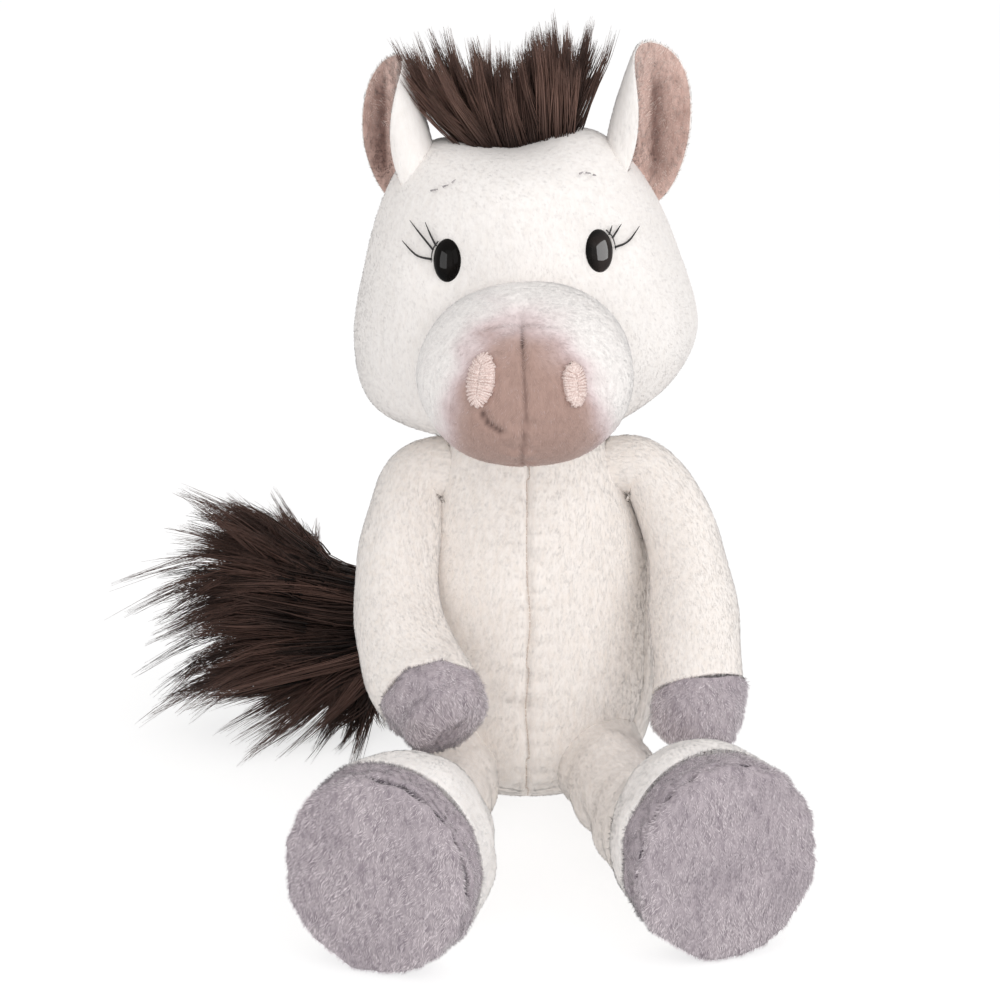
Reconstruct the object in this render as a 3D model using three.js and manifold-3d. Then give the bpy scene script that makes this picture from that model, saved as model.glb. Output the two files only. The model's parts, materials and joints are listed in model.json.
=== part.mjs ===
// Plush horse, sitting, about 25 cm tall, in millimetres with +Z up.
// It faces -Y, and its own left side is +X.
// The origin is on the floor, in the middle of the flat of the seat.

import * as THREE from "three";
import { mergeVertices } from "three/addons/utils/BufferGeometryUtils.js";
import Module from "manifold-3d";

const wasm = await Module();
wasm.setup();

// Cloth, seams and clearances
const clothThick = 2.4; // plush cloth with its pile pressed down
const seamGap = 0.3; // between pieces sewn edge to edge
const fillGap = 0.3; // between a cover and its filling
const restCut = 0.5; // pressed flat where cloth rests on the floor
const swingGap = 3; // behind a limb's root, for its swing
const turnGap = 0.8; // round the wad in the neck
const overrun = 500; // reach of a cut or a ray past the toy

// Torso
const torsoHigh = 108;
const bellyHalfWide = 38;
const bellyHalfDeep = 33;
const pelletHigh = 20; // depth of the bag of beans in the seat
const torsoShares = [
  [0, 0.52, 0.52],
  [0.035, 0.72, 0.74],
  [0.12, 0.91, 0.92],
  [0.28, 1, 1],
  [0.46, 0.99, 0.98],
  [0.62, 0.92, 0.9],
  [0.76, 0.83, 0.8],
  [0.88, 0.73, 0.7],
  [0.96, 0.62, 0.6],
  [1, 0.5, 0.5],
];
const sideSeamFootShare = 0.7; // how far ahead the side seam meets the floor
const sideSeamTopShare = 0.15; // how far back it meets the neck

// Neck
const neckHalf = 15; // radius of the wad that carries the head
const neckRise = 2; // its centre above the torso's top edge
const neckOut = 2; // the head sits a little to the left
const headRoll = 3.4; // degrees, the left cheek is the higher one

// Head
const headHigh = 84;
const headHalfWide = 50;
const headHalfDeep = 40;
const headShares = [
  [0, 0.38, 0.42],
  [0.03, 0.6, 0.62],
  [0.11, 0.83, 0.82],
  [0.215, 0.945, 0.93],
  [0.33, 1, 0.985],
  [0.455, 0.985, 1],
  [0.62, 0.917, 0.96],
  [0.79, 0.81, 0.86],
  [0.9, 0.68, 0.73],
  [0.966, 0.43, 0.48],
  [1, 0.14, 0.16],
];
const crownSeamShare = 0.05; // the crown's seam, behind the head's middle

// Muzzle
const muzzleHalfWide = 30.5;
const muzzleHalfDeep = 33;
const muzzleHalfHigh = 25.5;
const muzzleAheadShare = 1.3; // centre, in half depths of the head
const muzzleRiseShare = 0.35; // centre, in heights of the head
const nosePlaneAheadShare = 0.42; // where the dark nose begins
const noseTilt = 24; // degrees that the nose looks down

// Nostrils
const nostrilHalfWide = 4.2;
const nostrilHalfHigh = 7.2;
const nostrilProud = 1.6;
const nostrilOutShare = 0.43;
const nostrilUpShare = 0.2;

// Eyes
const eyeHalfWide = 4.1;
const eyeHalfHigh = 6.6;
const eyeProud = 4;
const eyeOutShare = 0.412;
const eyeUpShare = 0.685;
const shankHalf = 1.6;
const shankLong = 9;
const shankHoleGap = 0.4;
const washerHalf = 5.5;
const washerThick = 1.2;
const washerDeep = 1.4; // below the inside of the cloth

// Sewn lashes and brows
const threadHalf = 0.45;
const threadLift = 0.8; // middle of a thread above the cloth
const lashShares = [
  [[0.62, 0.62], [1, 1.15], [1.38, 1.8]],
  [[0.82, 0.42], [1.6, 1.05], [2.4, 1.7]],
  [[1, 0.02], [1.95, 0.15], [2.8, 0.65]],
];
const lashRootShares = [[0.45, 0.85], [0.8, 0.55], [0.98, 0.22], [1.04, -0.12]];
const browShares = [[0.34, 0.91], [0.405, 0.92], [0.48, 0.905]]; // of the head

// Ears
const earHigh = 37;
const earHalfWide = 13.5;
const earHalfDeep = 11;
const earThick = 2.6;
const liningThick = 1.8;
const earSeat = 8; // how deep the ear's foot reaches below the crown
const leftEarOutShare = 0.67;
const rightEarOutShare = 0.63;
const earUpShare = 0.89;
const earLean = 8; // degrees away from the middle
const earTurn = 58; // degrees that the hollow looks outwards

// Mane
const maneHigh = 30;
const maneHalfWide = 28;
const maneHalfDeep = 9;
const maneSeat = 7; // how deep the hair starts below the crown
const maneShares = [
  [0, 0.68, 0.72, 0],
  [0.22, 0.78, 0.9, 0],
  [0.5, 0.95, 1, -0.08],
  [0.78, 1, 0.85, -0.2],
  [1, 0.72, 0.4, -0.26],
];
const napeHair = 11; // length of the hair down the back of the head
const napeHalfWide = 8;
const napeFootShare = 0.16;

// Arms
const armLong = 96;
const armHalf = 14.8;
const hoofLong = 20;
const hoofDome = 6;
const shoulderOut = 28;
const shoulderAhead = 4;
const shoulderDrop = 12; // below the torso's top edge
const shoulderClearShare = 0.56; // of the arm's half thickness, ahead of the swing's axis
const rightArmShares = [
  [0.07, 0.02, 0.03, 0.66],
  [-0.02, -0.02, -0.01, 0.72],
  [-0.05, -0.12, -0.15, 0.8],
  [-0.085, -0.28, -0.33, 0.9],
  [-0.05, -0.43, -0.44, 0.98],
  [0.015, -0.56, -0.5, 1],
  [0.045, -0.62, -0.53, 0.86],
];
const leftArmShares = [
  [-0.07, 0.02, 0.03, 0.66],
  [0.05, -0.02, 0.01, 0.72],
  [0.16, -0.08, -0.14, 0.8],
  [0.205, -0.19, -0.33, 0.9],
  [0.22, -0.3, -0.47, 0.94],
  [0.215, -0.38, -0.56, 0.94],
  [0.205, -0.415, -0.61, 0.82],
];

// Legs
const legLong = 116;
const legHalf = 13.6;
const footHalf = 27.6;
const soleThick = 3.2;
const soleDome = 2.5;
const bandDeep = 12; // side of the hoof, with the sole
const hipOut = 22;
const hipAheadShare = 2 / 3; // of the belly's half depth
const ankleRow = 3;
const rightLegShares = [
  [0.02, 0.08, 0.1],
  [0, -0.15, 0],
  [-0.03, -0.41, 0.03],
  [-0.055, -0.63, 0.4],
  [-0.085, -0.84, 0.95],
  [-0.175, -0.99, 0.96],
];
const leftLegShares = [
  [-0.02, 0.08, 0.1],
  [0.03, -0.15, 0],
  [0.085, -0.4, 0.03],
  [0.135, -0.59, 0.4],
  [0.19, -0.76, 0.95],
  [0.285, -0.9, 0.96],
];

// Tail
const tailLong = 120;
const tailHalfHigh = 40;
const tailHalfDeep = 13;
const tailRise = 31;
const tailOut = 4;
const tailLean = 19; // degrees that the hair's lower edge comes forwards
const tailKnuckleHalf = 4;
const tailTapeHalf = 2.4;
const tailTapeLong = 18;
const tailShares = [
  [-0.03, 0.03, 0, 0.3, 0.14],
  [-0.11, 0.11, 0.01, 0.55, 0.32],
  [-0.3, 0.15, -0.01, 0.85, 0.62],
  [-0.56, 0.11, 0, 1, 0.88],
  [-0.8, 0.06, 0.05, 0.9, 0.96],
  [-0.98, 0, 0.045, 0.3, 0.45],
];

// Counts of sides and steps
const torsoSides = 18;
const headSides = 20;
const muzzleSides = 16;
const limbSides = 12;
const hairSides = 12;
const threadSides = 4;
const neckSides = 18;
const roundSides = 14;
const limbSteps = 9;
const domeSteps = 2;

// Colours
const creamWhite = 0xf0ebe4;
const warmCream = 0xede5da;
const noseTaupe = 0xa5877f;
const liningPink = 0xb09489;
const hoofGrey = 0x9f9499;
const hairBrown = 0x3f2f2b;
const eyeBlack = 0x0b0a0a;
const threadBlack = 0x1c1a1b;
const threadGrey = 0x9a9290;
const threadPink = 0xcdb5ab;
const fillWhite = 0xfafafa;
const beanCloth = 0xd9d4c8;
const washerWhite = 0xe8e8e6;

const xAxis = new THREE.Vector3(1, 0, 0);
const yAxis = new THREE.Vector3(0, 1, 0);
const zAxis = new THREE.Vector3(0, 0, 1);

const clothLook = { roughness: 0.96, metalness: 0 };
const glossLook = { roughness: 0.12, metalness: 0 };
const plasticLook = { roughness: 0.5, metalness: 0 };

// Solids and geometries

function solidOf(geometry) {
  const bare = geometry.clone();
  bare.deleteAttribute("normal");
  bare.deleteAttribute("uv");
  const joined = mergeVertices(bare);
  const mesh = new wasm.Mesh({
    numProp: 3,
    vertProperties: joined.attributes.position.array,
    triVerts: new Uint32Array(joined.index.array),
  });
  return new wasm.Manifold(mesh);
}

function geometryOf(solid) {
  const { vertProperties, triVerts } = solid.getMesh();
  const geometry = new THREE.BufferGeometry();
  geometry.setAttribute("position", new THREE.BufferAttribute(vertProperties, 3));
  geometry.setIndex(new THREE.BufferAttribute(triVerts, 1));
  geometry.computeVertexNormals();
  return geometry;
}

// The part of a solid beyond a plane, on the side that the normal points to
function beyond(solid, normal, point) {
  return solid.trimByPlane(normal.toArray(), normal.dot(point));
}

// The part of a solid before that plane
function before(solid, normal, point) {
  return beyond(solid, normal.clone().negate(), point);
}

// A solid as it lies in a group's own frame
function seenFrom(group, solid) {
  group.updateMatrix();
  return solid.transform(group.matrix.clone().invert().elements);
}

function inGroup(group, solid) {
  group.updateMatrix();
  return solid.transform(group.matrix.elements);
}

// Closed form over stations: each is a ring, or a point where its halves are 0
function loft(stations, sides) {
  const points = [];
  const rows = [];
  for (const { at, across, along, wide, high } of stations) {
    const row = [];
    const count = wide === 0 ? 1 : sides;
    for (let s = 0; s < count; s++) {
      const turn = (2 * Math.PI * s) / sides;
      const point = at.clone();
      point.addScaledVector(across, wide * Math.cos(turn));
      point.addScaledVector(along, high * Math.sin(turn));
      row.push(points.length);
      points.push(point);
    }
    rows.push(row);
  }
  const index = [];
  for (let r = 0; r + 1 < rows.length; r++) {
    const low = rows[r];
    const top = rows[r + 1];
    for (let s = 0; s < sides; s++) {
      const next = (s + 1) % sides;
      if (low.length > 1) {
        index.push(low[s], low[next], top[next % top.length]);
      }
      if (top.length > 1) {
        index.push(low[s % low.length], top[next], top[s]);
      }
    }
  }
  const geometry = new THREE.BufferGeometry().setFromPoints(points);
  geometry.setIndex(index);
  return geometry;
}

// A copy of a lofted form with its surface moved outwards
function grown(form, reach) {
  const copy = form.clone();
  copy.computeVertexNormals();
  const { position, normal } = copy.attributes;
  const point = new THREE.Vector3();
  const outward = new THREE.Vector3();
  for (let i = 0; i < position.count; i++) {
    point.fromBufferAttribute(position, i);
    outward.fromBufferAttribute(normal, i);
    point.addScaledVector(outward, reach);
    position.setXYZ(i, point.x, point.y, point.z);
  }
  return copy;
}

// The cover, and what fills it, of a stuffed form
function stuffed(form) {
  const outer = solidOf(form);
  const inner = solidOf(grown(form, -clothThick));
  const filling = solidOf(grown(form, -clothThick - fillGap));
  const cut = solidOf(grown(form, seamGap));
  return { form, outer, cover: outer.subtract(inner), filling, cut };
}

// An upright form: rows of height, width and depth shares, and a lean share
function uprightForm(shares, base, high, halfWide, halfDeep, sides) {
  const rowOf = ([rise, wide, deep, lean = 0]) => ({
    at: new THREE.Vector3(lean * halfWide, 0, base + rise * high),
    across: xAxis,
    along: yAxis,
    wide: wide * halfWide,
    high: deep * halfDeep,
  });
  const rings = shares.map(rowOf);
  const foot = { ...rings[0], wide: 0, high: 0 };
  const top = { ...rings[rings.length - 1], wide: 0, high: 0 };
  return loft([foot, ...rings, top], sides);
}

function ellipsoidForm(halfWide, halfDeep, halfHigh, sides) {
  const steps = sides / 2;
  const stations = [];
  for (let i = 0; i <= steps; i++) {
    const turn = (Math.PI * i) / steps;
    const isPole = i === 0 || i === steps;
    const girth = isPole ? 0 : Math.sin(turn);
    stations.push({
      at: new THREE.Vector3(0, 0, -halfHigh * Math.cos(turn)),
      across: xAxis,
      along: yAxis,
      wide: girth * halfWide,
      high: girth * halfDeep,
    });
  }
  return loft(stations, sides);
}

// A form along a curve through rows of a place and two half sizes
function sweptForm(rows, steps, sides, side, dome) {
  const path = new THREE.CatmullRomCurve3(rows.map((row) => row.at), false, "catmullrom");
  const sizes = rows.map((row) => new THREE.Vector3(row.wide, row.high, 0));
  const girth = new THREE.CatmullRomCurve3(sizes, false, "catmullrom");
  const stations = [];
  for (let i = 0; i <= steps; i++) {
    const at = path.getPoint(i / steps);
    const ahead = path.getTangent(i / steps);
    const across = side.clone().addScaledVector(ahead, -side.dot(ahead)).normalize();
    const along = ahead.clone().cross(across);
    const size = girth.getPoint(i / steps);
    stations.push({ at, across, along, wide: size.x, high: size.y });
  }
  const first = stations[0];
  const last = stations[steps];
  const ahead = path.getTangent(1);
  const end = [];
  for (let i = 1; i <= domeSteps; i++) {
    const turn = (Math.PI * i) / (2 * domeSteps);
    const shrink = i === domeSteps ? 0 : Math.cos(turn);
    const at = last.at.clone().addScaledVector(ahead, dome * Math.sin(turn));
    end.push({ ...last, at, wide: last.wide * shrink, high: last.high * shrink });
  }
  const form = loft([{ ...first, wide: 0, high: 0 }, ...stations, ...end], sides);
  return { form, path, end: last.at, ahead };
}

function rodSolid(half, from, to) {
  const rod = new THREE.CylinderGeometry(half, half, to - from, roundSides);
  rod.rotateX(Math.PI / 2);
  rod.translate(0, 0, (from + to) / 2);
  return solidOf(rod);
}

// Where a ray meets a form's surface
function surfaceFrom(form, start, ahead) {
  const target = new THREE.Mesh(form, new THREE.MeshBasicMaterial({ side: THREE.DoubleSide }));
  const hit = new THREE.Raycaster(start, ahead).intersectObject(target)[0];
  return { point: hit.point, normal: hit.face.normal.clone() };
}

// The surface of a form's front or back, at a side and a height
function frontOf(form, side, rise) {
  return surfaceFrom(form, new THREE.Vector3(side, -overrun, rise), yAxis);
}

function backOf(form, side, rise) {
  return surfaceFrom(form, new THREE.Vector3(side, overrun, rise), yAxis.clone().negate());
}

// A group that stands on a surface, its own +Z along the normal
function standingOn({ point, normal }) {
  const group = new THREE.Group();
  const across = zAxis.clone().cross(normal).normalize();
  const rise = normal.clone().cross(across);
  const basis = new THREE.Matrix4().makeBasis(across, rise, normal);
  group.quaternion.setFromRotationMatrix(basis);
  group.position.copy(point);
  return group;
}

// A thread sewn over a form's front, through places in side and height
function threadOn(form, places) {
  const rows = places.map(([side, rise]) => {
    const { point, normal } = frontOf(form, side, rise);
    const at = point.addScaledVector(normal, threadLift);
    return { at, wide: threadHalf, high: threadHalf };
  });
  return solidOf(sweptForm(rows, rows.length, threadSides, yAxis, threadHalf).form);
}

function named(name, solid, color, look) {
  const mesh = new THREE.Mesh(
    geometryOf(solid),
    new THREE.MeshStandardMaterial({ color, ...look }),
  );
  mesh.name = name;
  return mesh;
}

const floorPoint = new THREE.Vector3();

function restingOnFloor(solid) {
  return beyond(solid, zAxis, floorPoint);
}

// Torso: two front panels, a back panel, beans in the seat and filling above

const torsoForm = uprightForm(
  torsoShares, -restCut, torsoHigh + restCut, bellyHalfWide, bellyHalfDeep, torsoSides,
);
const torso = stuffed(torsoForm);
torso.swingRoom = solidOf(grown(torsoForm, swingGap));
const neckPoint = new THREE.Vector3(neckOut, 0, torsoHigh + neckRise);

function neckBall(half) {
  return solidOf(ellipsoidForm(half, half, half, neckSides));
}

function makeTorso() {
  const group = new THREE.Group();
  const socket = neckBall(neckHalf + turnGap).translate(neckPoint.toArray());
  const cover = restingOnFloor(torso.cover.subtract(socket));
  const seamFoot = new THREE.Vector3(0, -sideSeamFootShare * bellyHalfDeep, 0);
  const seamTop = new THREE.Vector3(0, sideSeamTopShare * bellyHalfDeep, torsoHigh);
  const seamUp = seamTop.clone().sub(seamFoot);
  const seamFront = xAxis.clone().cross(seamUp).normalize();
  const seamHalf = seamGap / 2;
  const frontEdge = seamFoot.clone().addScaledVector(seamFront, seamHalf);
  const backEdge = seamFoot.clone().addScaledVector(seamFront, -seamHalf);
  const leftEdge = new THREE.Vector3(seamHalf, 0, 0);
  const rightEdge = leftEdge.clone().negate();
  const front = beyond(cover, seamFront, frontEdge);
  const back = before(cover, seamFront, backEdge);

  const inside = torso.filling.subtract(socket);
  const bagTop = new THREE.Vector3(0, 0, pelletHigh);
  const fillFoot = new THREE.Vector3(0, 0, pelletHigh + fillGap);
  group.add(
    named("torso_front_left_panel", beyond(front, xAxis, leftEdge), warmCream, clothLook),
    named("torso_front_right_panel", before(front, xAxis, rightEdge), warmCream, clothLook),
    named("torso_back_panel", back, warmCream, clothLook),
    named("seat_bean_bag", before(inside, zAxis, bagTop), beanCloth, clothLook),
    named("torso_filling", beyond(inside, zAxis, fillFoot), fillWhite, clothLook),
  );
  return group;
}

function makeNeck() {
  const group = new THREE.Group();
  group.position.copy(neckPoint);
  group.add(named("neck_filling", neckBall(neckHalf), fillWhite, clothLook));
  return group;
}

// Head: everything on it is placed from the neck's centre

const headBase = neckRise;
const headForm = uprightForm(
  headShares, headBase, headHigh, headHalfWide, headHalfDeep, headSides,
);
const head = stuffed(headForm);

const muzzleForm = ellipsoidForm(muzzleHalfWide, muzzleHalfDeep, muzzleHalfHigh, muzzleSides);
muzzleForm.translate(0, -muzzleAheadShare * headHalfDeep, headBase + muzzleRiseShare * headHigh);
const muzzle = stuffed(muzzleForm);

function eyePlace(side) {
  return [side * eyeOutShare * headHalfWide, headBase + eyeUpShare * headHigh];
}

function makeSkull() {
  const sides = [[1, "left"], [-1, "right"]];
  const socket = neckBall(neckHalf + turnGap);
  const seamHalf = seamGap / 2;
  const crownSeam = crownSeamShare * headHalfDeep;
  let cover = head.cover.subtract(socket);
  let filling = head.filling.subtract(socket);
  const pieces = [];
  for (const [side, word] of sides) {
    const seat = standingOn(frontOf(headForm, ...eyePlace(side)));
    const inside = -clothThick - washerDeep;
    const hole = rodSolid(shankHalf + shankHoleGap, -shankLong, shankLong);
    const pocket = rodSolid(washerHalf + fillGap, -shankLong - fillGap, 0);
    cover = cover.subtract(inGroup(seat, hole));
    filling = filling.subtract(inGroup(seat, pocket));

    const ball = solidOf(ellipsoidForm(eyeHalfWide, eyeHalfHigh, eyeProud, roundSides));
    const lens = ball.subtract(seenFrom(seat, head.cut));
    const eye = lens.add(rodSolid(shankHalf, -shankLong, eyeProud / 2));
    const disc = rodSolid(washerHalf, inside - washerThick, inside);
    const washer = disc.subtract(rodSolid(shankHalf + seamGap, -shankLong, shankLong));
    seat.add(
      named(`${word}_eye`, eye, eyeBlack, glossLook),
      named(`${word}_eye_washer`, washer, washerWhite, plasticLook),
    );
    pieces.push(seat);
  }
  const crown = new THREE.Vector3(0, crownSeam + seamHalf, 0);
  const brow = new THREE.Vector3(0, crownSeam - seamHalf, 0);
  const leftEdge = new THREE.Vector3(seamHalf, 0, 0);
  const rightEdge = leftEdge.clone().negate();
  const back = beyond(cover, yAxis, crown);
  pieces.push(
    named("face_panel", before(cover, yAxis, brow), creamWhite, clothLook),
    named("head_back_left_panel", beyond(back, xAxis, leftEdge), creamWhite, clothLook),
    named("head_back_right_panel", before(back, xAxis, rightEdge), creamWhite, clothLook),
    named("head_filling", filling, fillWhite, clothLook),
  );
  return pieces;
}

function makeMuzzle() {
  const tilt = THREE.MathUtils.degToRad(noseTilt);
  const ahead = new THREE.Vector3(0, -Math.cos(tilt), -Math.sin(tilt));
  const centre = new THREE.Vector3(
    0, -muzzleAheadShare * headHalfDeep, headBase + muzzleRiseShare * headHigh,
  );
  const seamHalf = seamGap / 2;
  const ring = centre.clone().addScaledVector(ahead, nosePlaneAheadShare * muzzleHalfDeep);
  const ringBack = ring.clone().addScaledVector(ahead, -seamGap);
  const leftEdge = new THREE.Vector3(seamHalf, 0, 0);
  const rightEdge = leftEdge.clone().negate();
  const cover = muzzle.cover.subtract(head.cut);
  const nose = beyond(cover, ahead, ring);
  return [
    named("muzzle_band", before(cover, ahead, ringBack), creamWhite, clothLook),
    named("nose_left_panel", beyond(nose, xAxis, leftEdge), noseTaupe, clothLook),
    named("nose_right_panel", before(nose, xAxis, rightEdge), noseTaupe, clothLook),
    named("muzzle_filling", muzzle.filling.subtract(head.cut), fillWhite, clothLook),
  ];
}

function makeNostril(side, word) {
  const out = side * nostrilOutShare * muzzleHalfWide;
  const rise = headBase + muzzleRiseShare * headHigh + nostrilUpShare * muzzleHalfHigh;
  const seat = standingOn(frontOf(muzzleForm, out, rise));
  const pad = solidOf(
    ellipsoidForm(nostrilHalfWide, nostrilHalfHigh, nostrilProud, roundSides),
  );
  const raised = pad.subtract(seenFrom(seat, muzzle.cut));
  seat.add(named(`${word}_nostril_stitching`, raised, threadPink, clothLook));
  return seat;
}

// Places beside an eye, outwards and upwards, in half sizes of that eye
function besideEye(side, shares) {
  const [eyeOut, eyeUp] = eyePlace(side);
  return shares.map(([out, rise]) => [
    eyeOut + side * out * eyeHalfWide,
    eyeUp + rise * eyeHalfHigh,
  ]);
}

function makeThreads(side, word) {
  let lashes = threadOn(headForm, besideEye(side, lashRootShares));
  for (const shares of lashShares) {
    lashes = lashes.add(threadOn(headForm, besideEye(side, shares)));
  }
  const seat = standingOn(frontOf(headForm, ...eyePlace(side)));
  const eyeRoom = solidOf(
    ellipsoidForm(eyeHalfWide + seamGap, eyeHalfHigh + seamGap, eyeProud + seamGap, roundSides),
  );
  const browPlaces = browShares.map(([out, rise]) => [
    side * out * headHalfWide,
    headBase + rise * headHigh,
  ]);
  const brow = threadOn(headForm, browPlaces);
  return [
    named(`${word}_lashes`, lashes.subtract(inGroup(seat, eyeRoom)), threadBlack, clothLook),
    named(`${word}_brow_stitch`, brow, threadGrey, clothLook),
  ];
}

// Hair on the crown and down the nape

function makeMane() {
  const crownTop = headBase + headHigh;
  const tuft = uprightForm(
    maneShares, crownTop - maneSeat, maneHigh + maneSeat, maneHalfWide, maneHalfDeep, hairSides,
  );
  const tuftSolid = solidOf(tuft).subtract(head.cut);
  const tuftRoom = solidOf(grown(tuft, seamGap));
  const left = new THREE.Vector3(napeHalfWide, 0, 0);
  const right = left.clone().negate();
  const behind = new THREE.Vector3(0, crownSeamShare * headHalfDeep, 0);
  const foot = new THREE.Vector3(0, 0, headBase + napeFootShare * headHigh);
  let nape = solidOf(grown(headForm, napeHair)).subtract(head.cut).subtract(tuftRoom);
  nape = before(nape, xAxis, left);
  nape = beyond(nape, xAxis, right);
  nape = beyond(nape, yAxis, behind);
  nape = beyond(nape, zAxis, foot);
  const meshes = [
    named("mane_crown", tuftSolid, hairBrown, clothLook),
    named("mane_nape", nape, hairBrown, clothLook),
  ];
  return { meshes, tuftRoom };
}

// An ear's own frame has its foot at the origin and its hollow towards -Y

function makeEar(side, word, outShare, tuftRoom) {
  const group = new THREE.Group();
  const lean = THREE.MathUtils.degToRad(earLean);
  const turn = THREE.MathUtils.degToRad(earTurn);
  const out = outShare * headHalfWide;
  group.position.set(side * out, 0, headBase + earUpShare * headHigh);
  group.rotation.set(0, side * lean, side * turn, "YZX");
  const half = (earHigh + earSeat) / 2;
  const leaf = (wide, deep, high, ahead) => {
    const form = ellipsoidForm(wide, deep, high, roundSides);
    form.translate(0, -ahead, half - earSeat);
    return solidOf(form);
  };
  const hollow = leaf(earHalfWide, earHalfDeep, half, earThick);
  const liningRoom = leaf(
    earHalfWide - seamGap, earHalfDeep - seamGap, half - seamGap, earThick + seamGap,
  );
  const back = leaf(earHalfWide, earHalfDeep, half, 0);
  const inside = leaf(earHalfWide, earHalfDeep, half, earThick + liningThick + seamGap);
  const behind = new THREE.Vector3(0, -earHalfDeep / 2, 0);
  const skull = seenFrom(group, head.cut);
  const hair = seenFrom(group, tuftRoom);
  const shell = beyond(back.subtract(hollow), yAxis, behind);
  const lining = beyond(liningRoom.subtract(inside), yAxis, behind);
  group.add(
    named(`${word}_ear_back`, shell.subtract(skull).subtract(hair), creamWhite, clothLook),
    named(`${word}_ear_lining`, lining.subtract(skull).subtract(hair), liningPink, clothLook),
  );
  return group;
}

function makeHead() {
  const group = new THREE.Group();
  group.position.copy(neckPoint);
  group.rotation.y = -THREE.MathUtils.degToRad(headRoll);
  const mane = makeMane();
  group.add(...makeSkull(), ...makeMuzzle(), ...mane.meshes);
  const sides = [[1, "left", leftEarOutShare], [-1, "right", rightEarOutShare]];
  for (const [side, word, earOutShare] of sides) {
    group.add(makeNostril(side, word), ...makeThreads(side, word));
    group.add(makeEar(side, word, earOutShare, mane.tuftRoom));
  }
  return group;
}

// Arms: a sleeve, a hoof of darker cloth and their filling

function makeArm(side, word, shares) {
  const group = new THREE.Group();
  group.position.set(side * shoulderOut, -shoulderAhead, torsoHigh - shoulderDrop);
  const rows = shares.map(([x, y, z, girth]) => ({
    at: new THREE.Vector3(x, y, z).multiplyScalar(armLong),
    wide: girth * armHalf,
    high: girth * armHalf,
  }));
  const { form, path } = sweptForm(rows, limbSteps, limbSides, xAxis, hoofDome);
  const arm = stuffed(form);
  const hoofShare = 1 - (hoofLong - hoofDome) / path.getLength();
  const wrist = path.getPointAt(hoofShare);
  const ahead = path.getTangentAt(hoofShare);
  const wristBack = wrist.clone().addScaledVector(ahead, -seamGap);
  const body = seenFrom(group, torso.cut);
  const room = seenFrom(group, torso.swingRoom);
  const clearFrom = new THREE.Vector3(0, -shoulderClearShare * armHalf, 0);
  const behind = beyond(room, yAxis, clearFrom);
  const clear = (solid) => solid.subtract(body).subtract(behind);
  group.add(
    named(`${word}_arm_sleeve`, clear(before(arm.cover, ahead, wristBack)), creamWhite, clothLook),
    named(`${word}_front_hoof`, clear(beyond(arm.cover, ahead, wrist)), hoofGrey, clothLook),
    named(`${word}_arm_filling`, clear(arm.filling), fillWhite, clothLook),
  );
  return group;
}

// Legs: they lie on the floor, each foot ending in a band and a sole

function makeLeg(side, word, shares) {
  const group = new THREE.Group();
  group.position.set(side * hipOut, -hipAheadShare * bellyHalfDeep, 0);
  const rows = shares.map(([x, y, swell]) => {
    const half = legHalf + swell * (footHalf - legHalf);
    const at = new THREE.Vector3(x * legLong, y * legLong, half - restCut);
    return { at, wide: half, high: half };
  });
  const { form, path, end, ahead } = sweptForm(rows, limbSteps, limbSides, xAxis, soleDome);
  const leg = stuffed(form);
  const ankleShare = ankleRow / (rows.length - 1);
  const ankle = path.getPoint(ankleShare);
  const anklePath = path.getTangent(ankleShare);
  const ankleBack = ankle.clone().addScaledVector(anklePath, -seamGap);
  const soleBack = end.clone().addScaledVector(ahead, -soleThick);
  const bandFront = soleBack.clone().addScaledVector(ahead, -seamGap);
  const bandBack = end.clone().addScaledVector(ahead, -bandDeep);
  const upperFront = bandBack.clone().addScaledVector(ahead, -seamGap);
  const hip = new THREE.Vector3();
  const body = seenFrom(group, torso.cut);
  const clear = (solid) => {
    return restingOnFloor(before(solid, yAxis, hip).subtract(body));
  };
  const cover = clear(leg.cover);
  const footCover = before(cover, ahead, upperFront);
  group.add(
    named(`${word}_leg_sleeve`, before(footCover, anklePath, ankleBack), creamWhite, clothLook),
    named(`${word}_foot_upper`, beyond(footCover, anklePath, ankle), creamWhite, clothLook),
    named(
      `${word}_hoof_band`,
      before(beyond(cover, ahead, bandBack), ahead, bandFront),
      hoofGrey,
      clothLook,
    ),
    named(`${word}_hoof_sole`, clear(beyond(leg.outer, ahead, soleBack)), hoofGrey, clothLook),
    named(`${word}_leg_filling`, clear(before(leg.filling, ahead, bandFront)), fillWhite, clothLook),
  );
  return group;
}

// Tail: a brush of hair on a cloth knuckle and tape, sewn to the back

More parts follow.
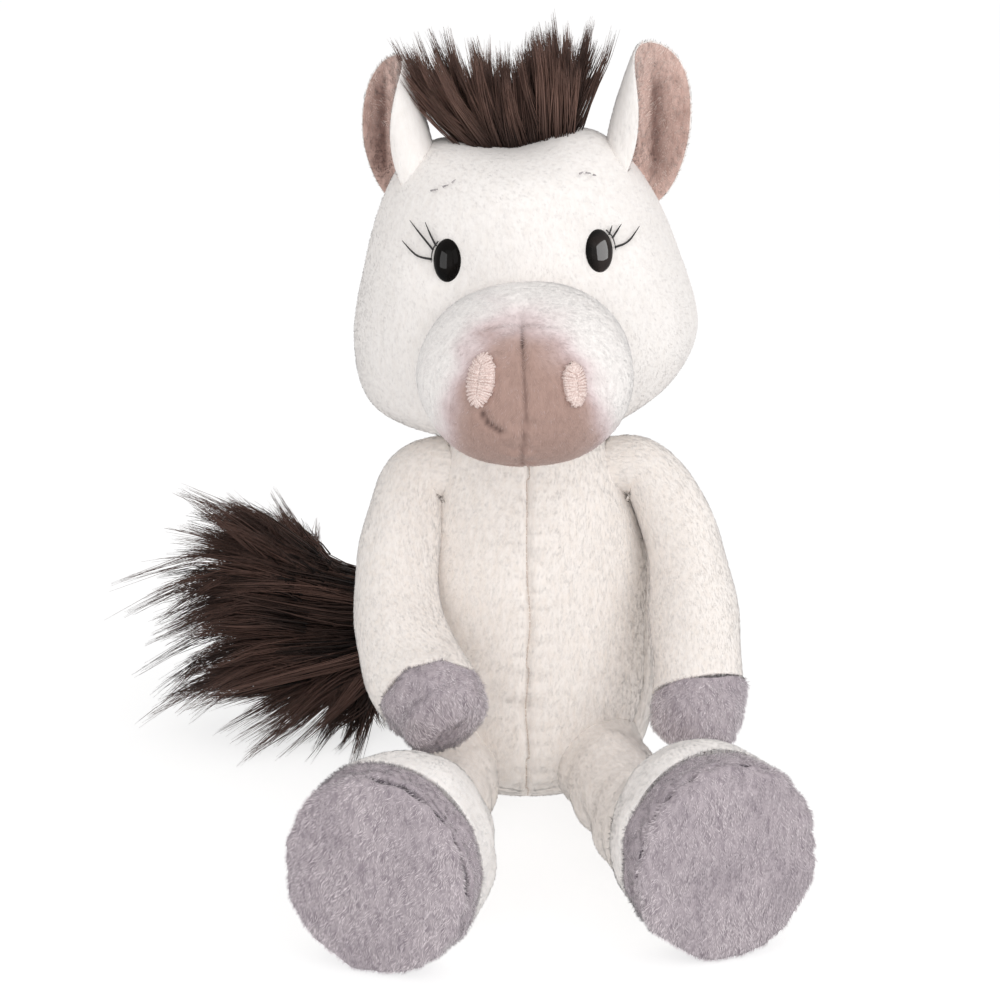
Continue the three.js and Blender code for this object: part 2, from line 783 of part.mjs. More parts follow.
function makeTail() {
  const group = new THREE.Group();
  const { point, normal } = backOf(torsoForm, -tailOut, tailRise);
  group.position.copy(point).addScaledVector(normal, seamGap + tailKnuckleHalf);
  const rows = tailShares.map(([x, y, z, deep, high]) => ({
    at: new THREE.Vector3(x, y, z).multiplyScalar(tailLong),
    wide: deep * tailHalfDeep,
    high: high * tailHalfHigh,
  }));
  const lean = THREE.MathUtils.degToRad(tailLean);
  const side = yAxis.clone().applyAxisAngle(xAxis, -lean);
  const { form } = sweptForm(rows, limbSteps, hairSides, side, tailHalfDeep / 2);
  const body = seenFrom(group, torso.swingRoom);

  const tapeGroup = new THREE.Group();
  tapeGroup.quaternion.setFromUnitVectors(zAxis, rows[1].at.clone().normalize());
  const ball = (half) => solidOf(ellipsoidForm(half, half, half, roundSides));
  const tape = (half, long) => inGroup(tapeGroup, rodSolid(half, 0, long));
  const stub = ball(tailKnuckleHalf).add(tape(tailTapeHalf, tailTapeLong));
  const ballRoom = ball(tailKnuckleHalf + seamGap);
  const room = ballRoom.add(tape(tailTapeHalf + seamGap, tailTapeLong + seamGap));
  const hair = solidOf(form).subtract(body).subtract(room);
  const floor = new THREE.Vector3(0, 0, -group.position.z);
  group.add(
    named("tail_stub", stub, hairBrown, clothLook),
    named("tail_hair", beyond(hair, zAxis, floor), hairBrown, clothLook),
  );
  return group;
}

const horse = new THREE.Group();
horse.add(
  makeTorso(),
  makeNeck(),
  makeHead(),
  makeArm(1, "left", leftArmShares),
  makeArm(-1, "right", rightArmShares),
  makeLeg(1, "left", leftLegShares),
  makeLeg(-1, "right", rightLegShares),
  makeTail(),
);

export default horse;
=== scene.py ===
import json
import math

import bmesh
import bpy
import numpy as np
from mathutils import Matrix, Vector
from mathutils.bvhtree import BVHTree


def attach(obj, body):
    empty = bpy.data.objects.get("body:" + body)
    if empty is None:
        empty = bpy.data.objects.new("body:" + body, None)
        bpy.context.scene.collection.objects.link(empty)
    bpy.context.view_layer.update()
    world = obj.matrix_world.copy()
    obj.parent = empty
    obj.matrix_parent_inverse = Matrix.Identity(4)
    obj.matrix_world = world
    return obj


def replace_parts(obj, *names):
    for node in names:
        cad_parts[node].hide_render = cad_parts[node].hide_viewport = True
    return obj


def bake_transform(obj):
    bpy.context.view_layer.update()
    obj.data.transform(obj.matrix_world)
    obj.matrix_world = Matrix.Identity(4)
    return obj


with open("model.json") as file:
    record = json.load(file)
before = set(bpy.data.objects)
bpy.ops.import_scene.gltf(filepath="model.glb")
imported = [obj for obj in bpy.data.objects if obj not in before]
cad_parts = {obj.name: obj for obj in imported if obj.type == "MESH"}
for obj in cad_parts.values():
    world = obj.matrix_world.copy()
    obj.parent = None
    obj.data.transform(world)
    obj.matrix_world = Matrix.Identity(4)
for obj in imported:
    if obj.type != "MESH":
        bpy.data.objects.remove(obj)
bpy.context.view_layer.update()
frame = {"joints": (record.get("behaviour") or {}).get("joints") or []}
chance = np.random.default_rng(11)
upAxis = np.array([0.0, 0.0, 1.0])
floorGap = 0.0001  # nothing reaches below the floor
pileFloor = 0.0004  # no fibre grows lower than this
farAhead = 0.2  # rays start this far in front of a form
white = (1, 1, 1, 1)


def linear(red, green, blue):
    shades = np.array([red, green, blue]) / 255
    dark = shades / 12.92
    light = ((shades + 0.055) / 1.055) ** 2.4
    return (*[float(c) for c in np.where(shades <= 0.04045, dark, light)], 1.0)


# Curves, noise and frames

def curveThrough(points, steps):  # smooth line through given points
    points = np.array(points, float)
    first = 2 * points[0] - points[1]
    last = 2 * points[-1] - points[-2]
    padded = np.vstack([first, points, last])
    at = np.linspace(0, len(points) - 1 - 1e-9, steps)
    whole = at.astype(int)
    t = (at - whole)[:, None]
    a, b, c, d = (padded[whole + i] for i in range(4))
    bend = (2 * a - 5 * b + 4 * c - d) * t**2
    twist = (3 * b - a - 3 * c + d) * t**3
    return 0.5 * (2 * b + (c - a) * t + bend + twist)


def evenly(curve, steps):  # the same line with its points evenly apart
    apart = np.linalg.norm(np.diff(curve, axis=0), axis=1)
    run = np.concatenate([[0], np.cumsum(apart)])
    at = np.linspace(0, run[-1], steps)
    return np.stack([np.interp(at, run, curve[:, k]) for k in range(curve.shape[1])], 1)


def unit(vectors):
    length = np.linalg.norm(vectors, axis=-1, keepdims=True)
    return vectors / np.maximum(length, 1e-9)


def lumps(points, size, seed, waves=14):  # smooth unevenness from -1 to 1
    draw = np.random.default_rng(seed)
    ways = unit(draw.normal(size=(waves, 3)))
    pitch = draw.uniform(0.6, 1.6, waves) * 2 * np.pi / size
    start = draw.uniform(0, 2 * np.pi, waves)
    return np.sin(points @ (ways * pitch[:, None]).T + start).sum(1) / math.sqrt(waves)


def smoothStep(low, high, value):
    t = np.clip((value - low) / (high - low), 0, 1)
    return t * t * (3 - 2 * t)


def fading(away, wide):  # 1 at no distance, next to nothing beyond twice the width
    return np.exp(-(away / wide) ** 2)


def moved(points, place):  # points of a piece's own frame, as they lie in the row frame
    turn = np.array(place.to_3x3())
    return points @ turn.T + np.array(place.translation)


# Meshes

def pointsOf(mesh):
    flat = np.empty(len(mesh.vertices) * 3)
    mesh.vertices.foreach_get("co", flat)
    return flat.reshape(-1, 3)


def normalsOf(mesh):
    flat = np.empty(len(mesh.vertices) * 3)
    mesh.vertex_normals.foreach_get("vector", flat)
    return flat.reshape(-1, 3)


def setPoints(mesh, points):
    mesh.vertices.foreach_set("co", points.ravel())
    mesh.update()


def addObject(name, mesh, material):
    piece = bpy.data.objects.new(name, mesh)
    bpy.context.scene.collection.objects.link(piece)
    mesh.materials.append(material)
    return piece


def dress(pieces, body):  # one body for several pieces
    for piece in pieces:
        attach(piece, body)


def finishBmesh(name, bm, material, smooth=True):
    mesh = bpy.data.meshes.new(name)
    bm.to_mesh(mesh)
    bm.free()
    if smooth:
        mesh.shade_smooth()
    return addObject(name, mesh, material)


def triangleMesh(name, points, faces, chart, material):  # a mesh with its map, from arrays
    mesh = bpy.data.meshes.new(name)
    mesh.vertices.add(len(points))
    mesh.loops.add(faces.size)
    mesh.polygons.add(len(faces))
    mesh.vertices.foreach_set("co", points.ravel())
    mesh.loops.foreach_set("vertex_index", faces.ravel().astype(np.int32))
    mesh.polygons.foreach_set("loop_start", np.arange(0, faces.size, 3, dtype=np.int32))
    mesh.update(calc_edges=True)
    mesh.shade_smooth()
    layer = mesh.uv_layers.new(name="OFBake")
    layer.data.foreach_set("uv", chart.reshape(-1, 2)[faces.ravel()].ravel())
    return addObject(name, mesh, material)


def ballMesh(name, around, along, material, place=None):  # its poles up and down
    bm = bmesh.new()
    bmesh.ops.create_uvsphere(bm, u_segments=around, v_segments=along, radius=1)
    if place:
        bmesh.ops.transform(bm, matrix=place, verts=bm.verts)
    bm.verts.index_update()
    # the operator lists its faces in another order in each run, so they are put into one order
    rings = [[v.index for v in face.verts] for face in bm.faces]
    starts = [ring.index(min(ring)) for ring in rings]
    rings = sorted(ring[start:] + ring[:start] for ring, start in zip(rings, starts))
    mesh = bpy.data.meshes.new(name)
    mesh.from_pydata([v.co for v in bm.verts], [], rings)
    bm.free()
    mesh.shade_smooth()
    return addObject(name, mesh, material)


def shaped(name, around, along, place, material):  # a round blank drawn out over a form
    piece = ballMesh(name, around, along, material)
    ball = pointsOf(piece.data)
    turn = np.arctan2(ball[:, 1], ball[:, 0])
    rise = 1 - np.arccos(np.clip(ball[:, 2], -1, 1)) / np.pi
    setPoints(piece.data, place(rise, turn))
    return piece


def pressed(piece, moves):  # every point moves along its normal, outwards where positive
    mesh = piece.data
    points = pointsOf(mesh)
    normals = normalsOf(mesh)
    points = points + normals * moves(points, normals)[:, None]
    points[:, 2] = np.maximum(points[:, 2], floorGap)
    setPoints(mesh, points)


def shadeCover(piece, name, shade):  # a value at each point, for the material
    layer = piece.data.attributes.new(name, "FLOAT", "POINT")
    layer.data.foreach_set("value", shade(pointsOf(piece.data)).astype(np.float32))


def treeOf(piece):
    mesh = piece.data
    return BVHTree.FromPolygons(
        [v.co for v in mesh.vertices], [tuple(p.vertices) for p in mesh.polygons]
    )


# Materials

def bareMaterial(name, roughness, colour):
    material = bpy.data.materials.new(name)
    material.use_nodes = True
    shader = material.node_tree.nodes["Principled BSDF"]
    shader.inputs["Roughness"].default_value = roughness
    shader.inputs["Base Color"].default_value = linear(*colour)
    material.diffuse_color = linear(*colour)
    return material, material.node_tree, shader


def rampOf(tree, source, stops):
    ramp = tree.nodes.new("ShaderNodeValToRGB")
    while len(ramp.color_ramp.elements) < len(stops):
        ramp.color_ramp.elements.new(1)
    for element, (at, colour) in zip(ramp.color_ramp.elements, stops):
        element.position = at
        element.color = colour
    tree.links.new(source, ramp.inputs["Fac"])
    return ramp.outputs["Color"]


def timesOf(tree, first, second):
    mix = tree.nodes.new("ShaderNodeMix")
    mix.data_type = "RGBA"
    mix.blend_type = "MULTIPLY"
    mix.inputs["Factor"].default_value = 1
    tree.links.new(first, mix.inputs["A"])
    tree.links.new(second, mix.inputs["B"])
    return mix.outputs["Result"]


def noiseOf(tree, scale, detail, stretch=(1, 1, 1)):
    place = tree.nodes.new("ShaderNodeTexCoord")
    mapping = tree.nodes.new("ShaderNodeMapping")
    mapping.inputs["Scale"].default_value = stretch
    noise = tree.nodes.new("ShaderNodeTexNoise")
    noise.inputs["Scale"].default_value = scale
    noise.inputs["Detail"].default_value = detail
    tree.links.new(place.outputs["Object"], mapping.inputs["Vector"])
    tree.links.new(mapping.outputs["Vector"], noise.inputs["Vector"])
    return noise.outputs["Fac"]


def attributeOf(tree, name):
    source = tree.nodes.new("ShaderNodeAttribute")
    source.attribute_name = name
    return source.outputs["Fac"]


def strandChart(tree):  # across the map lies a strand's tone, up the map its root to tip
    chart = tree.nodes.new("ShaderNodeUVMap")
    chart.uv_map = "OFBake"
    apart = tree.nodes.new("ShaderNodeSeparateXYZ")
    tree.links.new(chart.outputs["UV"], apart.inputs["Vector"])
    return apart.outputs["X"], apart.outputs["Y"]


def roughen(tree, shader, height, strength):
    bump = tree.nodes.new("ShaderNodeBump")
    bump.inputs["Strength"].default_value = strength
    bump.inputs["Distance"].default_value = 0.0006
    tree.links.new(height, bump.inputs["Height"])
    tree.links.new(bump.outputs["Normal"], shader.inputs["Normal"])


def strandMaterial(name, roots, tips, dark, roughness, sheen=0.0):
    material, tree, shader = bareMaterial(name, roughness, tips)
    shader.inputs["Sheen Weight"].default_value = sheen
    shader.inputs["Sheen Roughness"].default_value = 0.5
    shader.inputs["Specular IOR Level"].default_value = 0.25
    tone, rise = strandChart(tree)
    upwards = rampOf(tree, rise, [(0, linear(*roots)), (0.55, linear(*tips)), (1, linear(*tips))])
    across = rampOf(tree, tone, [(0, (*dark, 1)), (1, white)])
    tree.links.new(timesOf(tree, upwards, across), shader.inputs["Base Color"])
    return material


def clothMaterial(name, colour, shade, bumpy=0.2):
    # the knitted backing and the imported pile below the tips
    material, tree, shader = bareMaterial(name, 0.95, colour)
    shader.inputs["Sheen Weight"].default_value = 0.15
    shader.inputs["Specular IOR Level"].default_value = 0.2
    streaks = noiseOf(tree, 700, 4, (1, 1, 0.35))
    patches = noiseOf(tree, 60, 2)
    fine = rampOf(tree, streaks, [(0.3, linear(*shade)), (0.6, linear(*colour))])
    broad = rampOf(tree, patches, [(0.3, (0.95, 0.95, 0.95, 1)), (0.7, white)])
    tree.links.new(timesOf(tree, fine, broad), shader.inputs["Base Color"])
    roughen(tree, shader, streaks, bumpy)
    return material


def paintFoldShade(material):  # painted shade, darker where the ear is folded
    tree = material.node_tree
    shader = tree.nodes["Principled BSDF"]
    foldShadeColour = rampOf(tree, attributeOf(tree, "hollow"), [(0, white), (1, (0.36, 0.31, 0.3, 1))])
    plain = shader.inputs["Base Color"].links[0].from_socket
    tree.links.new(timesOf(tree, plain, foldShadeColour), shader.inputs["Base Color"])


whiteCloth = clothMaterial("whiteCloth", (245, 241, 238), (240, 235, 231))
creamCloth = clothMaterial("creamCloth", (245, 239, 234), (239, 231, 224))
hoofCloth = clothMaterial("hoofCloth", (182, 172, 177), (144, 134, 141), 0.5)
liningCloth = clothMaterial("liningCloth", (218, 188, 178), (186, 156, 146), 0.5)
# the lining's cloth gets painted shade along the ear's fold
paintFoldShade(liningCloth)
# colour at the root and the tip, what the darkest fibre is multiplied by, roughness, sheen
whitePile = strandMaterial(
    "whitePile", (241, 236, 233), (245, 241, 239), (0.97, 0.965, 0.96), 0.9, 0.1,
)
creamPile = strandMaterial(
    "creamPile", (240, 232, 226), (249, 245, 242), (0.96, 0.952, 0.945), 0.9, 0.1,
)
palePile = strandMaterial(
    "palePile", (248, 244, 242), (255, 254, 253), (0.98, 0.975, 0.97), 0.9, 0.1,
)
hoofPile = strandMaterial(
    "hoofPile", (142, 132, 138), (250, 240, 244), (0.62, 0.6, 0.63), 0.85, 0.2,
)
# the same cloth as hoofPile, painted lighter: painted light on the arms' hooves and the hoof bands
frontHoofPile = strandMaterial(
    "frontHoofPile", (164, 154, 159), (255, 246, 250), (0.66, 0.64, 0.67), 0.85, 0.2,
)
# the lining's darkest fibres are its painted shade along the ear's fold
liningPile = strandMaterial(
    "liningPile", (202, 170, 160), (255, 232, 222), (0.2, 0.16, 0.155), 0.85, 0.2,
)
maneHair = strandMaterial("maneHair", (34, 23, 20), (132, 102, 91), (0.16, 0.145, 0.14), 0.55)
tailHair = strandMaterial("tailHair", (22, 15, 13), (108, 82, 73), (0.1, 0.09, 0.085), 0.55)
print("materials made")


# Pile: short tapered fibres over a cover, each four small faces

def pilePart(name, strands, chart, soft, material):
    pattern = np.array([[0, 1, 3], [1, 2, 3], [2, 0, 3], [0, 2, 1]])
    faces = (pattern[None] + 4 * np.arange(len(strands))[:, None, None]).reshape(-1, 3)
    part = triangleMesh(name, strands.reshape(-1, 3), faces, chart, material)
    part.data.normals_split_custom_set_from_vertices(soft.reshape(-1, 3))
    return part


def growPile(cover, name, coat, nap, keep=None, toneAt=None):
    mesh = cover.data
    mesh.calc_loop_triangles()
    corners = np.empty(len(mesh.loop_triangles) * 3, int)
    mesh.loop_triangles.foreach_get("vertices", corners)
    corners = corners.reshape(-1, 3)
    points = pointsOf(mesh)
    normals = normalsOf(mesh)
    a, b, c = (points[corners[:, k]] for k in range(3))
    areas = np.linalg.norm(np.cross(b - a, c - a), axis=1) / 2
    count = int(areas.sum() * coat["perArea"])
    picked = np.searchsorted(np.cumsum(areas), chance.uniform(0, areas.sum(), count))
    picked = np.minimum(picked, len(areas) - 1)
    one = np.sqrt(chance.uniform(0, 1, count))
    two = chance.uniform(0, 1, count)
    share = np.stack([1 - one, one * (1 - two), one * two], 1)[:, :, None]
    roots = (points[corners[picked]] * share).sum(1)
    outward = unit((normals[corners[picked]] * share).sum(1))
    if keep is not None:
        staying = chance.uniform(0, 1, count) < keep(roots, outward)
        roots = roots[staying]
        outward = outward[staying]
        count = len(roots)

    flow = nap(roots, outward)
    flow = unit(flow - outward * (flow * outward).sum(1)[:, None])
    side = np.cross(outward, flow)
    clump = coat["clump"]
    sway = lumps(roots, clump, 5) * coat["sway"] + chance.normal(0, coat["stray"], count)
    uneven = coat["uneven"] * lumps(roots, clump, 6) + chance.normal(0, coat["stray"], count)
    lift = coat["lift"] * (1 + uneven)
    ahead = unit(flow + outward * np.maximum(lift, 0.06)[:, None] + side * sway[:, None])
    length = coat["long"] * chance.uniform(0.75, 1.15, count)
    across = unit(side - ahead * (side * ahead).sum(1)[:, None])
    up = np.cross(ahead, across)
    base = roots - outward * coat["thick"]
    turns = [2 * math.pi * k / 3 for k in range(3)]
    rings = [base + coat["thick"] * (across * math.cos(t) + up * math.sin(t)) for t in turns]
    tips = roots + ahead * length[:, None]
    strands = np.stack([*rings, tips], 1)
    strands[..., 2] = np.maximum(strands[..., 2], floorGap)
    if toneAt is None:
        tone = chance.uniform(coat["darkest"], 1, count)
    else:
        tone = toneAt(roots, outward)
    tone = tone + lumps(roots, clump * 1.5, 8) * coat["mottle"]
    tone = tone + lumps(roots, coat["patchWide"], 12) * coat["patches"]
    chart = np.zeros((count, 4, 2))
    chart[:, :, 0] = np.clip(tone, 0.01, 0.99)[:, None]
    chart[:, :3, 1] = 0.03
    chart[:, 3, 1] = 0.97
    smooth = outward * coat["smooth"]
    soft = [smooth + (ring - base) / coat["thick"] for ring in rings] + [smooth + up]
    soft = unit(np.stack(soft, 1))
    parts = np.array_split(np.arange(count), math.ceil(count / pileMost))
    return [
        pilePart(f"{name}{k or ''}", strands[part], chart[part], soft[part], coat["material"])
        for k, part in enumerate(parts)
    ]


def downNap(roots, outward):  # combed down the toy
    return np.tile([0.0, 0.0, -1.0], (len(roots), 1)) + 0.35 * outward[:, [1, 0, 2]] * [1, -1, 0]


shortCoat = {
    "perArea": 1.5e6, "long": 0.0017, "thick": 0.00011, "lift": 0.13, "uneven": 0.05, "sway": 0.15,
    "smooth": 20, "clump": 0.006, "mottle": 0.05, "patches": 0, "patchWide": 0.022,
    "stray": 0.12, "material": creamPile, "darkest": 0.45,
}
headCoat = {
    **shortCoat, "perArea": 1.35e6, "long": 0.0013, "lift": 0.12, "uneven": 0.02, "sway": 0.08,
    "smooth": 40, "mottle": 0.02, "material": whitePile, "darkest": 0.7,
}
hoofCoat = {
    **shortCoat, "perArea": 3.2e6, "long": 0.0014, "lift": 0.95, "uneven": 0.25, "sway": 0.7,
    "smooth": 1.3, "clump": 0.0028, "material": hoofPile, "mottle": 0.2, "patches": 0.32,
    "darkest": 0.3,
}
footCoat = {**shortCoat, "darkest": 0.8, "material": palePile}
# the hoof pile painted lighter, as painted light
paintedLightHoofCoat = {**hoofCoat, "material": frontHoofPile}
pileMost = 45000  # fibres in one piece
pileRoom = 0.0007  # the cloth lies this far inside the pile's outline


# Upright forms: rows of height, width and depth shares

def uprightPlace(form, place=Matrix()):
    outline = form["shares"]
    rows = [(outline[0][0], 0, 0), *outline, (outline[-1][0], 0, 0)]
    size = np.array([form["high"], form["halfWide"], form["halfDeep"]])
    curve = evenly(curveThrough(rows, 400) * size, 300)
    along = np.linspace(0, 1, len(curve))

    def placed(rise, turn):
        high, wide, deep = (np.interp(rise, along, curve[:, k]) for k in range(3))
        low = smoothStep(0.34, 0.1, high / form["high"])
        x = wide * np.cos(turn) + form.get("lowAside", 0) * low
        y = deep * np.sin(turn)
        return moved(np.stack([x, y, form["base"] + high], 1), place)

    return placed


# Torso, with the neck's foot

torso = {
    "base": 0.0, "high": 0.108, "halfWide": 0.038, "halfDeep": 0.033,
    "around": 200, "along": 104,
    "shares": [
        (0, 0.32, 0.3), (0.02, 0.54, 0.5), (0.06, 0.75, 0.74), (0.13, 0.91, 0.91), (0.28, 1, 1),
        (0.46, 0.99, 0.98), (0.62, 0.965, 0.91), (0.76, 0.88, 0.8), (0.88, 0.765, 0.71),
        (0.96, 0.67, 0.62), (1.01, 0.58, 0.53), (1.035, 0.45, 0.42),
    ],
    "seamWide": 0.0009, "seamDeep": 0.0016, "pucker": 0.0005,
}


def seamWander(points):  # how far the front seam strays to the side at each height
    return 0.0006 * lumps(points * [0, 0, 1], 0.05, 3)


def besideTorsoSeam(points):
    return np.where(points[:, 1] < 0, np.abs(points[:, 0] - seamWander(points)), 1)


def besideSideSeam(points):  # the side seams run from the seat's front up to the nape
    low = -0.7 * torso["halfDeep"]
    top = 0.15 * torso["halfDeep"]
    seamAt = low + (top - low) * points[:, 2] / torso["high"]
    return np.abs(points[:, 1] - seamAt) * 0.95


def torsoMoves(points, normals):
    front = fading(besideTorsoSeam(points), torso["seamWide"])
    sides = fading(besideSideSeam(points), torso["seamWide"])
    pull = torso["pucker"] * lumps(points * [0.3, 0.3, 1], 0.007, 4)
    near = fading(besideTorsoSeam(points), 0.006)
    broad = 0.0007 * lumps(points, 0.05, 9)
    high = smoothStep(0, 0.008, points[:, 2])
    return (-torso["seamDeep"] * (front + sides) + pull * near + broad - pileRoom) * high


torsoCover = shaped("torsoCover", torso["around"], torso["along"], uprightPlace(torso), creamCloth)
pressed(torsoCover, torsoMoves)
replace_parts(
    torsoCover, "torso_front_left_panel", "torso_front_right_panel", "torso_back_panel",
    "torso_filling", "seat_bean_bag",
)


def torsoNap(roots, outward):  # combed down, and outwards round the seat
    spread = 1.3 * smoothStep(0.016, 0, roots[:, 2])
    return downNap(roots, outward) + unit(roots * [1, 1, 0]) * spread[:, None]


def torsoPresence(roots, outward):  # the front seam stays bare
    return np.minimum(smoothStep(0.0005, 0.001, besideTorsoSeam(roots)), roots[:, 2] > pileFloor)


torsoPile = growPile(torsoCover, "torsoPile", shortCoat, torsoNap, torsoPresence)
neckAt = Vector(next(j for j in frame["joints"] if j["name"] == "head_nod")["pos_m"])
for piece in (torsoCover, *torsoPile):
    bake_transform(piece)
print("torso made")


# Head: it rolls a little towards the toy's right

head = {
    "base": 0.002, "high": 0.084, "halfWide": 0.050, "halfDeep": 0.040,
    "around": 170, "along": 120, "roll": 3.4,
    "shares": [
        (-0.035, 0.36, 0.4), (0.0, 0.48, 0.5), (0.03, 0.67, 0.65), (0.11, 0.865, 0.83),
        (0.215, 0.97, 0.93), (0.33, 1.01, 0.985), (0.455, 0.985, 1), (0.62, 0.9, 0.96),
        (0.79, 0.785, 0.86), (0.9, 0.68, 0.75), (0.966, 0.56, 0.58), (1, 0.36, 0.36),
    ],
    "eyeOut": 0.421, "eyeUp": 0.685, "eyeDent": 0.0016, "eyeDentWide": 0.009,
    "seamWide": 0.001, "seamDeep": 0.0009, "crownSeam": 0.05,
    "raised": [(-0.021, -0.004, 0.080, 0.0026), (0.0165, -0.004, 0.084, 0.0042)],
    "aside": (-0.0016, 0, 0), "lowAside": -0.0018,
}
headPlace = Matrix.Translation(neckAt) @ Matrix.Rotation(-math.radians(head["roll"]), 4, "Y")
headBack = headPlace.inverted()
headTurn = headPlace.to_3x3()
eyeSides = {"left": 1, "right": -1}


def eyeSpot(side):
    return side * head["eyeOut"] * head["halfWide"], head["base"] + head["eyeUp"] * head["high"]


def headMoves(points, normals):
    own = moved(points, headBack)
    dents = 0
    for side in eyeSides.values():
        x, z = eyeSpot(side)
        away = np.hypot(own[:, 0] - x, own[:, 2] - z)
        dents = dents + fading(away, head["eyeDentWide"]) * (own[:, 1] < 0)
    back = np.where(own[:, 1] > 0.004, np.abs(own[:, 0]), 1)
    crown = np.abs(own[:, 1] - head["crownSeam"] * head["halfDeep"])
    seams = fading(back, head["seamWide"]) + fading(crown, head["seamWide"])
    broad = 0.0007 * lumps(points, 0.045, 19)
    for *spot, lift in head["raised"]:
        away = np.linalg.norm(own - spot, axis=1)
        broad = broad + lift * fading(away, 0.012)
    return -head["eyeDent"] * dents - head["seamDeep"] * seams + broad - pileRoom


headForm = uprightPlace(head, headPlace @ Matrix.Translation(head["aside"]))
headCover = shaped("headCover", head["around"], head["along"], headForm, whiteCloth)
pressed(headCover, headMoves)
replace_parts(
    headCover, "face_panel", "head_back_left_panel", "head_back_right_panel", "head_filling",
    "neck_filling", "left_eye_washer", "right_eye_washer",
)
headTree = treeOf(headCover)


def onFace(tree, side, rise, lift=0.0):  # a point on a front, by its side and height there
    start = headPlace @ Vector((side, -farAhead, rise))
    point, normal, _, _ = tree.ray_cast(start, headTurn @ Vector((0, 1, 0)))
    return point + normal * lift, normal


# Muzzle: a puffed white band that fades into a taupe nose

muzzle = {
    "half": (0.0305, 0.033, 0.0255), "ahead": 0.052, "rise": 0.0314, "aside": -0.0008,
    "lower": 0.93, "around": 170, "along": 120,
    "noseTilt": 24, "noseFrom": 0.27, "seamWide": 0.0008, "seamDeep": 0.0011,
    "crease": ((-0.0124, 0.0300), (-0.0112, 0.0274), (-0.0080, 0.0250)), "creaseDeep": 0.0014,
}


def muzzlePlace(rise, turn):
    tall = -np.cos(np.pi * rise)
    girth = np.maximum(np.sin(np.pi * rise), 0) ** np.where(tall < 0, 0.78, 0.95)
    x, y, z = muzzle["half"]
    tall = np.where(tall < 0, tall * muzzle["lower"], tall)
    own = np.stack([x * girth * np.cos(turn), y * girth * np.sin(turn), z * tall], 1)
    own += [muzzle["aside"], -muzzle["ahead"], muzzle["rise"]]
    return moved(own, headPlace)


def fromMuzzle(points):  # as seen from the muzzle's middle
    return moved(points, headBack) - [muzzle["aside"], -muzzle["ahead"], muzzle["rise"]]


def onBall(points):  # direction from the muzzle's middle, as if it were a round ball
    return unit(fromMuzzle(points) / muzzle["half"])


def noseTone(points):  # 0 on the white band, 1 on the dark nose
    way = onBall(points)
    side = np.degrees(np.arcsin(np.clip(way[:, 0], -1, 1))) + 2.5
    tall = np.degrees(np.arcsin(np.clip(way[:, 2], -1, 1)))
    reach = np.interp(tall, [-40, 0, 40], [62, 52, 42])
    off = np.hypot(side / reach, (tall + 12) / np.where(tall > -12, 86, 120))
    return (1 - smoothStep(0.42, 1.08, off + 0.04 * lumps(points, 0.012, 31))) * (way[:, 1] < 0.3)


def besideNoseSeam(points):
    own = fromMuzzle(points)
    aside = -0.002 * smoothStep(0.002, -0.018, own[:, 2])
    return np.where(own[:, 1] < 0, np.abs(own[:, 0] - aside), 1)


def underNose(points):  # 1 where the muzzle turns under
    return smoothStep(-0.0185, -0.0222, fromMuzzle(points)[:, 2])


def besideNoseRing(points):
    own = fromMuzzle(points)
    tilt = math.radians(muzzle["noseTilt"])
    reach = -own[:, 1] * math.cos(tilt) - own[:, 2] * math.sin(tilt)
    return np.abs(reach - muzzle["noseFrom"] * muzzle["half"][1])


def besideCrease(points):  # distance from the fold below one nostril
    own = moved(points, headBack)
    flat = own[:, [0, 2]]
    away = np.ones(len(points))
    bends = np.array(muzzle["crease"])
    for start, stop in zip(bends[:-1], bends[1:]):
        way = stop - start
        t = np.clip(((flat - start) @ way) / (way @ way), 0, 1)
        away = np.minimum(away, np.linalg.norm(flat - start - t[:, None] * way, axis=1))
    return np.where(own[:, 1] < -muzzle["ahead"], away, 1)


def paintedGrooveShade(points):  # how much painted shade darkens the nose's sewn lines and the fold below each nostril
    high = moved(points, headBack)[:, 2] - muzzle["rise"]
    top = fading(high - 0.0158, 0.0016)
    seam = fading(besideNoseSeam(points), 0.0006) * (0.28 + 0.6 * top)
    arc = fading(besideNoseRing(points), 0.0006) * (high > 0)
    arc = 0.25 * arc * smoothStep(0.013, 0.006, np.abs(fromMuzzle(points)[:, 0]))
    seam = np.maximum(seam, arc) * smoothStep(0.2, 0.4, noseTone(points))
    return np.maximum(seam, 0.75 * fading(besideCrease(points), 0.0007))


def muzzleMoves(points, normals):
    own = moved(points, headBack)
    seam = fading(besideNoseSeam(points), muzzle["seamWide"])
    seam = seam * smoothStep(0.2, 0.5, noseTone(points)) * (1 - underNose(points))
    arc = (own[:, 2] > muzzle["rise"]) * smoothStep(0.014, 0.007, np.abs(fromMuzzle(points)[:, 0]))
    ring = 0.6 * fading(besideNoseRing(points), 0.0012) * arc
    pull = 0.0004 * lumps(points, 0.006, 33) * fading(besideNoseSeam(points), 0.005)
    fold = muzzle["creaseDeep"] * fading(besideCrease(points), 0.0012)
    broad = 0.0004 * lumps(points, 0.03, 34) - pileRoom * 0.7
    return -muzzle["seamDeep"] * (seam + ring) - fold + pull + broad


def noseStops(*colours):  # from the white band to the dark nose
    return [(at, linear(*colour)) for at, colour in zip((0, 0.3, 0.55, 0.8, 1), colours)]


